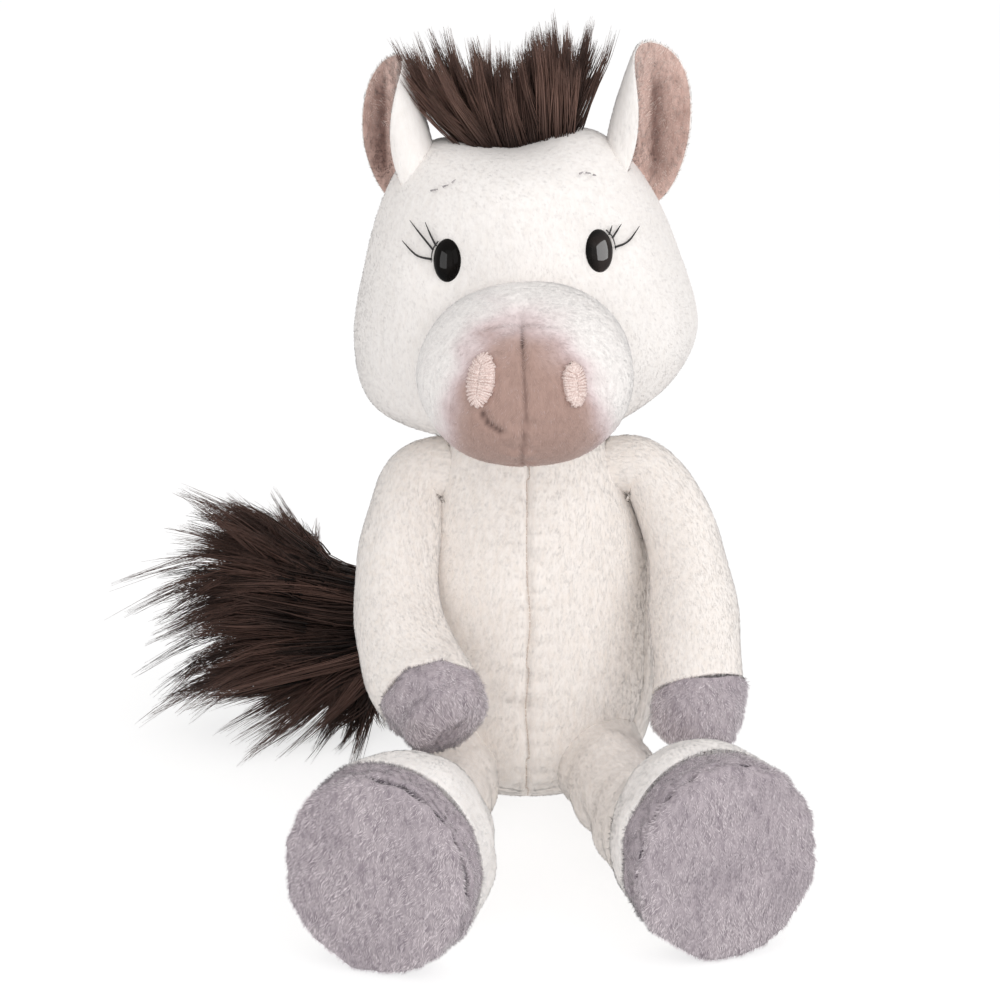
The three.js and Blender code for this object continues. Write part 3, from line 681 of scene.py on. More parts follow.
def noseMaterial():
    material, tree, shader = bareMaterial("muzzleCloth", 0.95, (225, 215, 210))
    stops = noseStops(
        (248, 244, 241), (228, 213, 213), (200, 178, 176), (182, 155, 147), (170, 141, 131),
    )
    fade = rampOf(tree, attributeOf(tree, "noseTone"), stops)
    streaks = noiseOf(tree, 700, 4, (1, 1, 0.4))
    fine = rampOf(tree, streaks, [(0.3, (0.86, 0.85, 0.85, 1)), (0.6, white)])
    # painted shade in the nose's seams and in the fold below each nostril
    sunk = rampOf(tree, attributeOf(tree, "grooveShade"), [(0, white), (1, (0.1, 0.07, 0.065, 1))])
    tree.links.new(timesOf(tree, timesOf(tree, fade, fine), sunk), shader.inputs["Base Color"])
    shader.inputs["Sheen Weight"].default_value = 0.15
    roughen(tree, shader, streaks, 0.5)
    return material


def noseStrandMaterial():
    material, tree, shader = bareMaterial("muzzlePile", 0.9, (235, 225, 220))
    shader.inputs["Sheen Weight"].default_value = 0.2
    shader.inputs["Specular IOR Level"].default_value = 0.25
    tone, rise = strandChart(tree)
    stops = noseStops(
        (252, 249, 247), (236, 222, 222), (212, 191, 189), (200, 173, 165), (192, 163, 152),
    )
    fade = rampOf(tree, tone, stops)
    upwards = rampOf(tree, rise, [(0, (0.62, 0.57, 0.55, 1)), (0.6, white)])
    shade = tree.nodes.new("ShaderNodeMix")
    shade.data_type = "RGBA"
    shade.inputs["B"].default_value = white
    tree.links.new(upwards, shade.inputs["A"])
    bare = rampOf(tree, tone, [(0, white), (0.6, (0, 0, 0, 1))])
    tree.links.new(bare, shade.inputs["Factor"])
    tree.links.new(timesOf(tree, fade, shade.outputs["Result"]), shader.inputs["Base Color"])
    return material


muzzleCover = shaped("muzzleCover", muzzle["around"], muzzle["along"], muzzlePlace, noseMaterial())
pressed(muzzleCover, muzzleMoves)
shadeCover(muzzleCover, "noseTone", noseTone)
# the painted shade of the nose's seams and fold
shadeCover(muzzleCover, "grooveShade", paintedGrooveShade)
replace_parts(muzzleCover, "muzzle_band", "nose_left_panel", "nose_right_panel", "muzzle_filling")
dress([muzzleCover], "head")
muzzleTree = treeOf(muzzleCover)


def insideMuzzle(points):
    return np.linalg.norm(fromMuzzle(points) / muzzle["half"], axis=1) < 0.97


def insideHead(points):
    own = moved(points, headBack) - head["aside"]
    high = (own[:, 2] - head["base"]) / head["high"]
    rows = np.array(head["shares"])
    wide = np.interp(high, rows[:, 0], rows[:, 1], left=0, right=0) * head["halfWide"]
    deep = np.interp(high, rows[:, 0], rows[:, 2], left=0, right=0) * head["halfDeep"]
    off = own[:, :2] / np.maximum(np.stack([wide, deep], 1), 1e-6)
    return (off**2).sum(1) < 0.94


# Eyes: glossy black ovals

eye = {"halfWide": 0.0041, "halfHigh": 0.0061, "proud": 0.0031, "tilt": 5}


def eyeMaterial():
    material, tree, shader = bareMaterial("eyeGloss", 0.03, (7, 6, 6))
    shader.inputs["Specular IOR Level"].default_value = 0.05
    depth = rampOf(tree, noiseOf(tree, 120, 2), [(0.3, linear(3, 3, 3)), (0.8, linear(13, 10, 9))])
    tree.links.new(depth, shader.inputs["Base Color"])
    return material


eyeGloss = eyeMaterial()
eyeOnly = {word: bpy.data.collections.new(f"{word}EyeOnly") for word in eyeSides}
for word, side in eyeSides.items():
    x, z = eyeSpot(side)
    point, normal = onFace(headTree, x, z)
    across = upAxis if abs(normal.z) > 0.99 else np.cross(upAxis, normal)
    across = Vector(across).normalized()
    rise = normal.cross(across)
    lean = Matrix.Rotation(math.radians(-side * eye["tilt"]), 3, normal)
    basis = Matrix((lean @ across, lean @ rise, normal)).transposed()
    place = Matrix.Translation(point) @ basis.to_4x4()
    size = Matrix.Diagonal((eye["halfWide"], eye["halfHigh"], eye["proud"], 1))
    ball = ballMesh(f"{word}Eye", 48, 32, eyeGloss, place @ size)
    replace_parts(ball, f"{word}_eye")
    eyeOnly[word].objects.link(ball)
    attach(ball, "head")


def beyondEyes(points, reach):  # 0 at an eye, 1 clear of it
    own = moved(points, headBack)
    clear = np.ones(len(points))
    for side in eyeSides.values():
        x, z = eyeSpot(side)
        off = np.hypot((own[:, 0] - x) / eye["halfWide"], (own[:, 2] - z) / eye["halfHigh"])
        clear = np.minimum(clear, np.where(own[:, 1] < 0, smoothStep(reach, reach + 0.25, off), 1))
    return clear


def faceNap(roots, outward):  # the face's pile is combed up and away from the muzzle
    own = moved(roots, headBack)
    away = own - [0, -head["halfDeep"], muzzle["rise"] + 0.012]
    flow = away * [1, 0.3, 1]
    flow[:, 2] -= 0.02
    return flow @ np.array(headTurn).T + 0.25 * outward[:, [2, 0, 1]]


def facePresence(roots, outward):
    return beyondEyes(roots, 0.85) * ~insideMuzzle(roots)


headPile = growPile(headCover, "headPile", headCoat, faceNap, facePresence)
for piece in (headCover, *headPile):
    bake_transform(piece)


def muzzleNap(roots, outward):
    own = fromMuzzle(roots)
    flow = np.stack([own[:, 0] * 0.6, own[:, 1] * 0 + 0.004, own[:, 2] * 0.4 - 0.014], 1)
    return flow @ np.array(headTurn).T


muzzleCoat = {
    **headCoat, "perArea": 2.1e6, "long": 0.0015, "material": noseStrandMaterial(), "mottle": 0.03,
    "smooth": 3, "sway": 0.3,
}


def muzzlePresence(roots, outward):  # the nose's seam and fold stay bare
    seam = np.maximum(smoothStep(0.0002, 0.0007, besideNoseSeam(roots)), 1 - noseTone(roots))
    seam = np.maximum(seam, underNose(roots))
    return ~insideHead(roots) * seam * smoothStep(0.0003, 0.0008, besideCrease(roots))


def muzzleTone(roots, outward):
    tone = noseTone(roots)
    return tone * (1 + chance.normal(0, 0.16, len(roots)) + 0.1 * lumps(roots, 0.003, 35))


muzzlePile = growPile(muzzleCover, "muzzlePile", muzzleCoat, muzzleNap, muzzlePresence, muzzleTone)
dress(muzzlePile, "head")
print("head made")


# Limbs follow much the same lines as their solids

def limbLine(form, steps=400):
    rows = np.array([row[:3] for row in form["rows"]], float)
    girth = np.array([[row[3]] for row in form["rows"]], float)
    line = curveThrough(rows, steps) * form["long"] + np.array(form["at"])
    half = curveThrough(girth, steps)[:, 0] * form["half"]
    if form.get("onFloor"):
        line[:, 2] = half * form["tall"]
    ahead = unit(np.gradient(line, axis=0))
    across = unit(np.array([1.0, 0, 0]) - ahead * ahead[:, :1])
    along = np.cross(ahead, across)
    run = np.concatenate([[0], np.cumsum(np.linalg.norm(np.diff(line, axis=0), axis=1))])
    return {
        "line": line, "half": half, "ahead": ahead, "across": across, "along": along, "run": run,
        "tall": form.get("tall", 1), "slant": (0, 0),
    }


def onLimb(limb, key, at):  # the line of a limb, or one of its directions, at a length
    return np.stack([np.interp(at, limb["run"], limb[key][:, k]) for k in range(3)], -1)


def limbPlace(limb, start, stop, hem, dome=0.0):
    # a stretch of a limb between two lengths: hems are rolled in, the far end may be domed
    turns = np.linspace(0, math.pi / 2, 12)
    rows = [(start, share, hem) for share in (0, 0.5)]
    rows += [(start + hem * (1 - math.cos(t)), 1, hem * (1 - math.sin(t))) for t in turns]
    if dome:
        rows += [(at, 1, 0) for at in np.linspace(start + hem, stop, 40)[1:]]
        rows += [(stop + dome * math.sin(t), math.cos(t), 0) for t in turns[1:]]
    else:
        rows += [(at, 1, 0) for at in np.linspace(start + hem, stop - hem, 40)[1:]]
        rows += [(stop - hem * (1 - math.sin(t)), 1, hem * (1 - math.cos(t))) for t in turns[1:]]
        rows += [(stop, share, hem) for share in (0.5, 0)]
    reach = np.array(rows)
    half = np.interp(reach[:, 0], limb["run"], limb["half"]) - reach[:, 2]
    curve = evenly(np.stack([reach[:, 0], reach[:, 1] * half], 1), 300)
    along = np.linspace(0, 1, len(curve))
    total = limb["run"][-1]

    def placed(rise, turn):
        at, girth = (np.interp(rise, along, curve[:, k]) for k in range(2))
        seamAt, slant = limb["slant"]
        at = at + slant * np.cos(turn) * np.maximum(1 - np.abs(at - seamAt) / 0.014, 0)
        centre = onLimb(limb, "line", at)
        centre = centre + limb["ahead"][-1] * np.maximum(at - total, 0)[:, None]
        centre = centre + limb["ahead"][0] * np.minimum(at, 0)[:, None]
        across, up = (onLimb(limb, key, at) for key in ("across", "along"))
        high = girth * np.sin(turn) * limb["tall"]
        points = centre + across * (girth * np.cos(turn))[:, None] + up * high[:, None]
        points[:, 2] = np.maximum(points[:, 2], floorGap)
        return points

    return placed


def limbReach(limb, points):  # how far along the limb each point lies
    line, run, ahead = (limb[key][::6] for key in ("line", "run", "ahead"))
    near = np.concatenate([
        np.linalg.norm(part[:, None] - line[None], axis=2).argmin(1)
        for part in np.array_split(points, max(1, len(points) // 20000))
    ])
    return run[near] + ((points - line[near]) * ahead[near]).sum(1)


def limbNap(limb):
    def nap(roots, outward):
        reach = np.clip(limbReach(limb, roots), 0, limb["run"][-1])
        return onLimb(limb, "ahead", reach)

    return nap


armForm = {"long": 0.096, "half": 0.0148, "dome": 0.006}
arms = {
    "right": {
        **armForm, "at": (-0.028, -0.004, 0.096), "hoof": 0.0145, "slant": 0.0034,
        "rows": [
            (0.07, 0.02, 0.03, 0.66), (-0.045, -0.02, -0.01, 0.73), (-0.09, -0.12, -0.15, 0.82),
            (-0.1, -0.28, -0.33, 0.9), (-0.055, -0.43, -0.44, 0.98), (0.015, -0.56, -0.5, 1),
            (0.045, -0.62, -0.53, 0.86),
        ],
    },
    "left": {
        **armForm, "at": (0.028, -0.004, 0.096), "hoof": 0.0182, "slant": -0.0028,
        "rows": [
            (-0.07, 0.05, 0.03, 0.6), (0.07, 0.025, 0.012, 0.66), (0.163, -0.065, -0.14, 0.78),
            (0.206, -0.19, -0.33, 0.9), (0.22, -0.31, -0.48, 0.94), (0.213, -0.385, -0.58, 0.94),
            (0.203, -0.42, -0.645, 0.84),
        ],
    },
}

hem = 0.0012  # how far a sewn edge is rolled in
overlap = 0.0008  # neighbouring covers reach this far into each other


def softMoves(size, deep, seed):
    def moves(points, normals):
        return deep * lumps(points, size, seed) - pileRoom

    return moves


def puckeredMoves(limb, seamAt):  # gathers beside a seam that runs round a limb
    def moves(points, normals):
        near = fading(limbReach(limb, points) - seamAt, 0.005)
        gathers = 0.0006 * lumps(points, 0.0055, 52) * near
        return 0.0006 * lumps(points, 0.02, 51) + gathers - pileRoom

    return moves


for word, form in arms.items():
    limb = limbLine(form)
    total = limb["run"][-1]
    wrist = total - (form["hoof"] - form["dome"])
    limb["slant"] = (wrist, form["slant"])
    sleeve = shaped(
        f"{word}ArmSleeve", 96, 130, limbPlace(limb, 0, wrist + overlap, hem), creamCloth,
    )
    hoof = shaped(
        f"{word}FrontHoof", 96, 64, limbPlace(limb, wrist, total, hem, form["dome"]), hoofCloth,
    )
    pressed(sleeve, softMoves(0.03, 0.0006, 41))
    pressed(hoof, softMoves(0.012, 0.0005, 42))
    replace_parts(sleeve, f"{word}_arm_sleeve", f"{word}_arm_filling")
    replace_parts(hoof, f"{word}_front_hoof")
    sleevePile = growPile(sleeve, f"{word}ArmPile", shortCoat, limbNap(limb))
    hoofFibres = growPile(hoof, f"{word}FrontHoofPile", paintedLightHoofCoat, limbNap(limb))
    pivot = Vector(form["at"])
    bendTo = Vector(limb["line"][np.searchsorted(limb["run"], 0.028)])
    for piece in (sleeve, *sleevePile):
        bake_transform(piece)
    dress([hoof, *hoofFibres], f"{word}_arm")
print("arms made")

legForm = {"long": 0.116, "half": 1, "onFloor": True, "tall": 1.07}
legs = {
    "right": {
        **legForm, "at": (-0.022, -0.022, 0),
        "rows": [
            (0.02, 0.08, 0, 0.1), (0, -0.15, 0, 0), (-0.035, -0.41, 0, 0.05),
            (-0.07, -0.63, 0, 0.52), (-0.1, -0.84, 0, 0.96), (-0.158, -0.99, 0, 0.96),
        ],
    },
    "left": {
        **legForm, "at": (0.022, -0.022, 0),
        "rows": [
            (-0.02, 0.08, 0, 0.1), (0.03, -0.15, 0, 0), (0.09, -0.4, 0, 0.05),
            (0.155, -0.59, 0, 0.4), (0.213, -0.76, 0, 0.94), (0.272, -0.9, 0, 0.96),
        ],
    },
}
foot = {
    "legHalf": 0.0136, "footHalf": 0.0268, "band": 0.012, "sole": 0.0034, "dome": 0.005,
    "soleHem": 0.0019, "ankleHem": 0.0006, "ankleShare": 0.6,
}

for word, form in legs.items():
    spread = foot["footHalf"] - foot["legHalf"]
    form["rows"] = [(x, y, z, foot["legHalf"] + swell * spread) for x, y, z, swell in form["rows"]]
    limb = limbLine(form)
    total = limb["run"][-1]
    ankle = limb["run"][int(foot["ankleShare"] * (len(limb["run"]) - 1))]
    bandBack = total - foot["band"]
    soleBack = total - foot["sole"]
    parts = {
        "LegSleeve": (0, ankle + overlap, creamCloth, shortCoat, ["leg_sleeve", "leg_filling"]),
        "FootUpper": (ankle, bandBack + overlap, whiteCloth, footCoat, ["foot_upper"]),
        "HoofBand": (bandBack, soleBack, hoofCloth, paintedLightHoofCoat, ["hoof_band"]),
        "HoofSole": (soleBack, total, hoofCloth, hoofCoat, ["hoof_sole"]),
    }
    pivot = Vector(form["at"])
    bendTo = Vector(limb["line"][np.searchsorted(limb["run"], 0.04)])
    bendTo.z = pivot.z

    def besideSole(roots, outward, limb=limb, soleBack=soleBack):
        away = np.abs(limbReach(limb, roots) - soleBack)
        return smoothStep(0.0005, 0.0014, away) * (roots[:, 2] > pileFloor)

    def toneWithSeamShade(roots, outward, limb=limb, soleBack=soleBack):  # random tone, with painted shade that darkens the seam's valley
        away = np.abs(limbReach(limb, roots) - soleBack)
        return chance.uniform(0.35, 1, len(roots)) - 0.6 * fading(away, 0.0016)

    for part, (start, stop, cloth, coat, nodes) in parts.items():
        grey, domed = cloth is hoofCloth, part == "HoofSole"
        rolled = foot["soleHem"] if grey else foot["ankleHem"]
        spot = limbPlace(limb, start, stop, rolled, foot["dome"] if domed else 0)
        along = max(48, int(40 + 1500 * (stop - start)))
        cover = shaped(f"{word}{part}", 112, along, spot, cloth)
        pressed(cover, puckeredMoves(limb, soleBack))
        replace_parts(cover, *[f"{word}_{node}" for node in nodes])
        nap = downNap if domed else limbNap(limb)
        toneAt = toneWithSeamShade if grey else None
        pile = growPile(cover, f"{word}{part}Pile", coat, nap, besideSole, toneAt)
        for piece in (cover, *pile):
            if part == "LegSleeve":
                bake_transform(piece)
            else:
                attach(piece, f"{word}_leg")
print("legs made")


# Ears: a leaf wrapped into a deep cup, its hollow lined with darker cloth, with painted shade
# along its fold

ears = {
    "high": 0.0355, "halfWide": 0.0121, "halfDeep": 0.0093, "seat": 0.0165,
    "up": {"left": 0.87, "right": 0.875}, "lean": {"left": 13, "right": 8}, "wrap": 118,
    "turn": {"left": 44, "right": 66},
    "out": {"left": 0.712, "right": 0.687}, "thick": 0.0019,
    "liningTall": 0.985, "liningThick": 0.0012, "liningIn": 0.0001,
    # where the painted shade of each ear's fold lies across it, and how wide it spreads
    "hollow": {"left": 0.0352, "right": -0.0412}, "hollowWide": 0.0042,
}


def earPlace(word):
    side = eyeSides[word]
    out = side * ears["out"][word] * head["halfWide"]
    high = head["base"] + ears["up"][word] * head["high"]
    lean = Matrix.Rotation(side * math.radians(ears["lean"][word]), 4, "Y")
    turn = Matrix.Rotation(side * math.radians(ears["turn"][word]), 4, "Z")
    return headPlace @ Matrix.Translation((out, 0, high)) @ lean @ turn


def leafPlace(place, lining):
    half = (ears["high"] + ears["seat"]) / 2

    def placed(rise, turn):
        tall = -np.cos(np.pi * rise)
        girth = np.sin(np.pi * rise)
        over = girth * np.cos(turn)
        if lining:  # it lies on the hollow side of the back and ends at its rim
            tall = tall * ears["liningTall"]
            girth = np.minimum(girth, np.sqrt(1 - tall**2))
            over = girth * np.cos(turn)
            under = ears["thick"] * np.sqrt(np.maximum(1 - tall**2 - over**2, 0))
            fuller = ears["liningThick"] * girth * np.maximum(-np.sin(turn), 0)
            fat = -under - fuller - ears["liningIn"]
        else:
            fat = ears["thick"] * girth * np.sin(turn)
        swing = np.radians(ears["wrap"]) * over
        size = 1 - 0.16 * smoothStep(0, 1, tall) - 0.12 * smoothStep(0, 1, -tall)
        x = (ears["halfWide"] * size + fat) * np.sin(swing)
        y = (ears["halfDeep"] * size + fat) * np.cos(swing)
        z = half * (tall + 1) - ears["seat"]
        return moved(np.stack([x, y, z], 1), place)

    return placed


def hollowShade(points, middle):  # painted shade, 1 where the ear is folded, sharp on its inner side
    beyond = (points[:, 0] - middle) * np.sign(middle)
    off = fading(beyond, np.where(beyond < 0, 0.0008, ears["hollowWide"]))
    return off * smoothStep(0.178, 0.19, points[:, 2]) * smoothStep(0.218, 0.207, points[:, 2])


earCoat = {**headCoat, "perArea": 1.7e6, "long": 0.0012}
liningCoat = {**hoofCoat, "perArea": 2.8e6, "long": 0.0013, "material": liningPile, "smooth": 2.5}
for word in eyeSides:
    place = earPlace(word)
    upwards = np.array(place.to_3x3() @ Vector((0, 0, 1)))
    back = shaped(f"{word}EarBack", 96, 64, leafPlace(place, False), whiteCloth)
    lining = shaped(f"{word}EarLining", 96, 64, leafPlace(place, True), liningCloth)

    def earNap(roots, outward, way=upwards):
        return np.tile(way, (len(roots), 1))

    # random tone, darkened by the painted shade along the ear's fold
    def hollowTone(roots, outward, middle=ears["hollow"][word]):
        return chance.uniform(0.74, 1, len(roots)) - 0.72 * hollowShade(roots, middle)

    # the painted shade along the ear's fold, for the lining's material
    shadeCover(lining, "hollow", lambda points: hollowShade(points, ears["hollow"][word]))
    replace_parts(back, f"{word}_ear_back")
    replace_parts(lining, f"{word}_ear_lining")
    backPile = growPile(back, f"{word}EarBackPile", earCoat, earNap)
    furry = growPile(lining, f"{word}EarLiningPile", liningCoat, earNap, None, hollowTone)
    dress([back, *backPile], f"{word}_ear")
    dress([lining, *furry], f"{word}_ear")
print("ears made")


# Strands: tapered tubes along given lines

def strandPiece(name, paths, radii, tones, material, sides=3):
    count, steps, _ = paths.shape
    ahead = unit(np.gradient(paths, axis=1))
    anyWay = unit(chance.normal(size=(count, 1, 3)))
    side = unit(np.cross(ahead, np.broadcast_to(anyWay, paths.shape)))
    up = np.cross(ahead, side)
    turns = [2 * math.pi * k / sides for k in range(sides)]
    thick = radii[:, :, None]
    rings = [paths + thick * (side * math.cos(t) + up * math.sin(t)) for t in turns]
    points = np.stack(rings, 2).reshape(-1, 3)
    points[:, 2] = np.maximum(points[:, 2], floorGap)
    faces = []
    for i in range(steps - 1):
        for k in range(sides):
            one, two = i * sides + k, i * sides + (k + 1) % sides
            faces += [(one, two, two + sides), (one, two + sides, one + sides)]
    last = (steps - 1) * sides
    for k in range(1, sides - 1):
        faces += [(0, k + 1, k), (last, last + k, last + k + 1)]
    faces = np.array(faces)
    faces = (faces[None] + steps * sides * np.arange(count)[:, None, None]).reshape(-1, 3)
    chart = np.zeros((count, steps, sides, 2))
    chart[..., 0] = tones[:, None, None]
    chart[..., 1] = np.linspace(0.03, 0.97, steps)[None, :, None]
    return triangleMesh(name, points, faces, chart, material)


def taper(count, steps, thick, tip=0.15):
    along = np.linspace(0, 1, steps)
    return thick * np.interp(along, [0, 0.6, 1], [1, 0.85, tip]) * np.ones((count, 1))


# Locks of hair: strands that start apart and close up towards one tip

def lockStrands(spine, form):
    # the spine of a lock is a line of points; its strands follow it at their own distances
    perLock, rootSpread, tipSpread = (form[key] for key in ("perLock", "rootSpread", "tipSpread"))
    ahead = unit(np.gradient(spine, axis=0))
    anyWay = unit(chance.normal(size=3))
    side = unit(np.cross(ahead, anyWay))
    up = np.cross(ahead, side)
    turn = chance.uniform(0, 2 * math.pi, perLock)
    out = np.sqrt(chance.uniform(0, 1, perLock))
    stop = chance.uniform(0.78, 1.0, perLock)
    t = np.linspace(0, 1, form["steps"])[None] * stop[:, None]
    spread = rootSpread * (1 - t**1.4) + tipSpread * t
    at = t * (len(spine) - 1)
    low = np.minimum(at.astype(int), len(spine) - 2)
    share = (at - low)[..., None]

    def along(values):
        return values[low] * (1 - share) + values[low + 1] * share

    x = (out * np.cos(turn))[:, None] * spread
    y = (out * np.sin(turn))[:, None] * spread
    stray = chance.normal(0, tipSpread * 1.3, (perLock, 2))
    x = x + stray[:, :1] * t**2
    y = y + stray[:, 1:] * t**2
    return along(spine) + along(side) * x[..., None] + along(up) * y[..., None]


def lockTone(darkest, palest, count):  # a lock has its own tone, and each strand its own too
    return np.clip(chance.uniform(darkest, palest) + chance.normal(0, 0.16, count), 0.02, 0.98)


def hairPiece(name, paths, tones, form, material, body):
    radii = taper(len(paths), form["steps"], form["thick"])
    hair = strandPiece(name, paths, radii, np.concatenate(tones), material)
    dress([hair], body)
    return hair


# Mane: upright hair on the crown, lighter towards its tips

mane = {
    "locks": 190, "perLock": 30, "steps": 6, "halfDeep": 0.0068, "seat": 0.003, "thick": 0.00016,
    "rootSpread": 0.0024, "tipSpread": 0.0006, "frontLean": -7, "backLean": 22,
    "parts": 9, "above": 0.13, "curl": 0.0009,
    # along the root line: lean at the root and at the tip in degrees, length of the locks
    "rows": [
        (-0.0155, -52, -22, 0.038), (-0.0115, -40, -18, 0.038), (-0.0065, -26, -10, 0.035),
        (-0.0010, -12, -4, 0.032), (0.0040, -4, -2, 0.032), (0.0090, 2, 0, 0.034),
        (0.0130, 6, 2, 0.037), (0.0142, 18, 16, 0.034), (0.0162, 34, 22, 0.034),
    ],
}


def makeMane():
    rows = np.array(mane["rows"])
    parts = mane["parts"]
    sets, tones = [], []
    for _ in range(mane["locks"]):
        x = chance.uniform(rows[0, 0], rows[-1, 0])
        deep = chance.uniform(-1, 1)
        start = headPlace @ Vector((x, deep * mane["halfDeep"], mane["above"]))
        down = headTurn @ Vector((0, 0, -1))
        root = headBack @ headTree.ray_cast(start, down)[0]
        low, high, long = (np.interp(x, rows[:, 0], rows[:, k]) for k in (1, 2, 3))
        t = np.linspace(0, 1, parts + 1)
        lean = np.radians(low + (high - low) * t + chance.normal(0, 5))
        tilt = np.interp(deep, [-1, 1], [mane["frontLean"], mane["backLean"]])
        tilt = math.radians(tilt + chance.normal(0, 5))
        backwards, upwards = np.full(parts + 1, math.sin(tilt)), np.cos(lean) * math.cos(tilt)
        way = np.stack([np.sin(lean), backwards, upwards], 1)
        long = long * chance.uniform(0.68, 1.04)
        steps = np.cumsum(way * long / parts, axis=0) - way[0] * (long / parts + mane["seat"])
        curl = unit(chance.normal(size=3)) * mane["curl"]
        wave = np.sin(t * chance.uniform(3, 7) + chance.uniform(0, 6))[:, None] * t[:, None]
        spine = np.array(root) + steps + curl * wave
        sets.append(lockStrands(spine, mane))
        tones.append(lockTone(0.1, 0.85, mane["perLock"]))
    paths = np.concatenate(sets)
    paths = moved(paths.reshape(-1, 3), headPlace).reshape(paths.shape)
    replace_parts(hairPiece("maneCrown", paths, tones, mane, maneHair, "head"), "mane_crown")


nape = {
    "locks": 150, "perLock": 22, "steps": 5, "long": 0.017, "halfWide": 0.0072, "low": -36,
    "high": 74, "thick": 0.00016, "rootSpread": 0.003, "tipSpread": 0.001,
    "down": (0, 0.45, -0.85), "lift": 0.42, "stray": 0.09, "seat": 0.0015, "sag": 0.003,
}


def makeNape():  # guessed: the mane goes on down the back of the head
    sets, tones = [], []
    for _ in range(nape["locks"]):
        x = chance.uniform(-1, 1) * nape["halfWide"]
        turn = math.radians(chance.uniform(nape["low"], nape["high"]))
        out = Vector((0, math.cos(turn), math.sin(turn)))
        middle = Vector((x, 0, head["base"] + head["high"] / 2))
        ahead = headTurn @ -out
        point, normal, _, _ = headTree.ray_cast(headPlace @ (middle + farAhead * out), ahead)
        normal = np.array(normal)
        down = np.array(nape["down"])
        down = unit(down - normal * (down @ normal))
        way = unit(normal * nape["lift"] + down + chance.normal(0, nape["stray"], 3))
        t = np.linspace(0, 1, 7)[:, None]
        long = nape["long"] * chance.uniform(0.8, 1.2)
        spine = np.array(point) + way * (t * long - nape["seat"]) - normal * t**2 * nape["sag"]
        sets.append(lockStrands(spine, nape))
        tones.append(lockTone(0.1, 0.8, nape["perLock"]))
    paths = np.concatenate(sets)
    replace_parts(hairPiece("maneNape", paths, tones, nape, maneHair, "head"), "mane_nape")


makeMane()
makeNape()
print("mane made")


# Tail: long locks that fan out to the toy's right

tail = {
    "at": (-0.004, 0.036759, 0.031143), "long": 0.12, "lean": 19, "halfDeep": 0.013,
    "halfHigh": 0.05, "lineLow": 0.002, "hairLow": 0.0012, "slide": 2.2,
    # its middle line and half depth
    "rows": [
        (-0.03, 0.03, 0, 0.3), (-0.11, 0.11, 0.01, 0.55), (-0.3, 0.15, -0.01, 0.85),
        (-0.56, 0.11, 0, 1), (-0.8, 0.06, 0.05, 0.9), (-0.98, 0, 0.045, 0.4),
    ],
    # how the hair flows from the root, top to bottom: mm outwards and mm up
    "flow": [
        [(8, 3), (42, 11), (60, 17), (67, 24), (75, 32), (84, 37)],
        [(8, 3), (40, 10), (64, 17), (77, 24), (90, 30), (107, 33)],
        [(8, 2), (38, 8), (58, 14), (76, 18), (92, 21), (109, 21)],
        [(8, 2), (36, 6), (56, 11), (76, 14), (98, 12), (124, 0)],
        [(8, 1), (34, 4), (54, 7), (74, 9), (93, 7), (112, -1)],
        [(8, 0), (34, 1), (54, 1), (76, 3), (94, 0), (112, -12)],
        [(8, 0), (34, -2), (54, -6), (72, -7), (91, -12), (114, -25)],
        [(8, -1), (35, -5), (52, -9), (70, -13), (89, -20), (115, -31)],
        [(8, -2), (36, -7), (49, -11), (62, -16), (77, -25), (97, -38)],
        [(8, -2), (36, -9), (46, -13), (55, -19), (64, -28), (76, -42)],
        [(8, -3), (36, -10), (43, -15), (48, -20), (51, -30), (53, -42)],
    ],
    "perLock": 28, "steps": 6, "thick": 0.0002, "rootSpread": 0.0042, "tipSpread": 0.0006,
    "bend": 0.005, "curl": 0.0022,
}


def makeTail(name, locks, inner, outer):
    curve = curveThrough(tail["rows"], 300)
    line = curve[:, :3] * tail["long"] + np.array(tail["at"])
    lean = math.radians(tail["lean"])
    upWay = np.array([0, math.sin(lean), math.cos(lean)])
    backWay = np.array([0, math.cos(lean), -math.sin(lean)])
    flow = np.stack([curveThrough(row, 60) for row in tail["flow"]]) / 1000
    sets, tones = [], []
    for _ in range(locks):
        place = chance.uniform(0, len(flow) - 1.001)
        first, share = int(place), place % 1
        flat = flow[first] * (1 - share) + flow[first + 1] * share
        start = chance.uniform(0, 0.6)
        stop = chance.uniform(0.72, 1)
        at = np.linspace(start, stop, 16) * (len(flat) - 1)
        outwards, upwards = (np.interp(at, np.arange(len(flat)), flat[:, k]) for k in range(2))
        middle = np.stack([np.interp(outwards, -line[:, 0], line[:, k]) for k in range(3)], 1)
        deep = chance.choice([-1, 1], p=[0.6, 0.4]) * chance.uniform(inner, outer)
        halfDeep = np.interp(outwards, -line[:, 0], curve[:, 3]) * tail["halfDeep"]
        bulge = np.sqrt(np.maximum(1 - (upwards / tail["halfHigh"]) ** 2, 0.15))
        spine = middle + upWay * upwards[:, None] + backWay * (deep * halfDeep * bulge)[:, None]
        spine[:, 0] = -outwards
        t = np.linspace(0, 1, len(outwards))[:, None]
        spine = spine + chance.normal(0, tail["bend"], 3) * t**2
        wave = np.sin(t * chance.uniform(3, 7) + chance.uniform(0, 6)) * t
        spine = spine + unit(chance.normal(size=3)) * tail["curl"] * wave
        # a lock that would go below the floor lies on it
        below = np.maximum(tail["lineLow"] - spine[:, 2], 0)
        spine[:, 2] += below
        spine[:, 1] -= tail["slide"] * below
        sets.append(lockStrands(spine, tail))
        tones.append(lockTone(0.05, 0.85, tail["perLock"]))
    paths = np.concatenate(sets)
    paths[..., 2] = np.maximum(paths[..., 2], tail["hairLow"])
    return hairPiece(name, paths, tones, tail, tailHair, "tail")


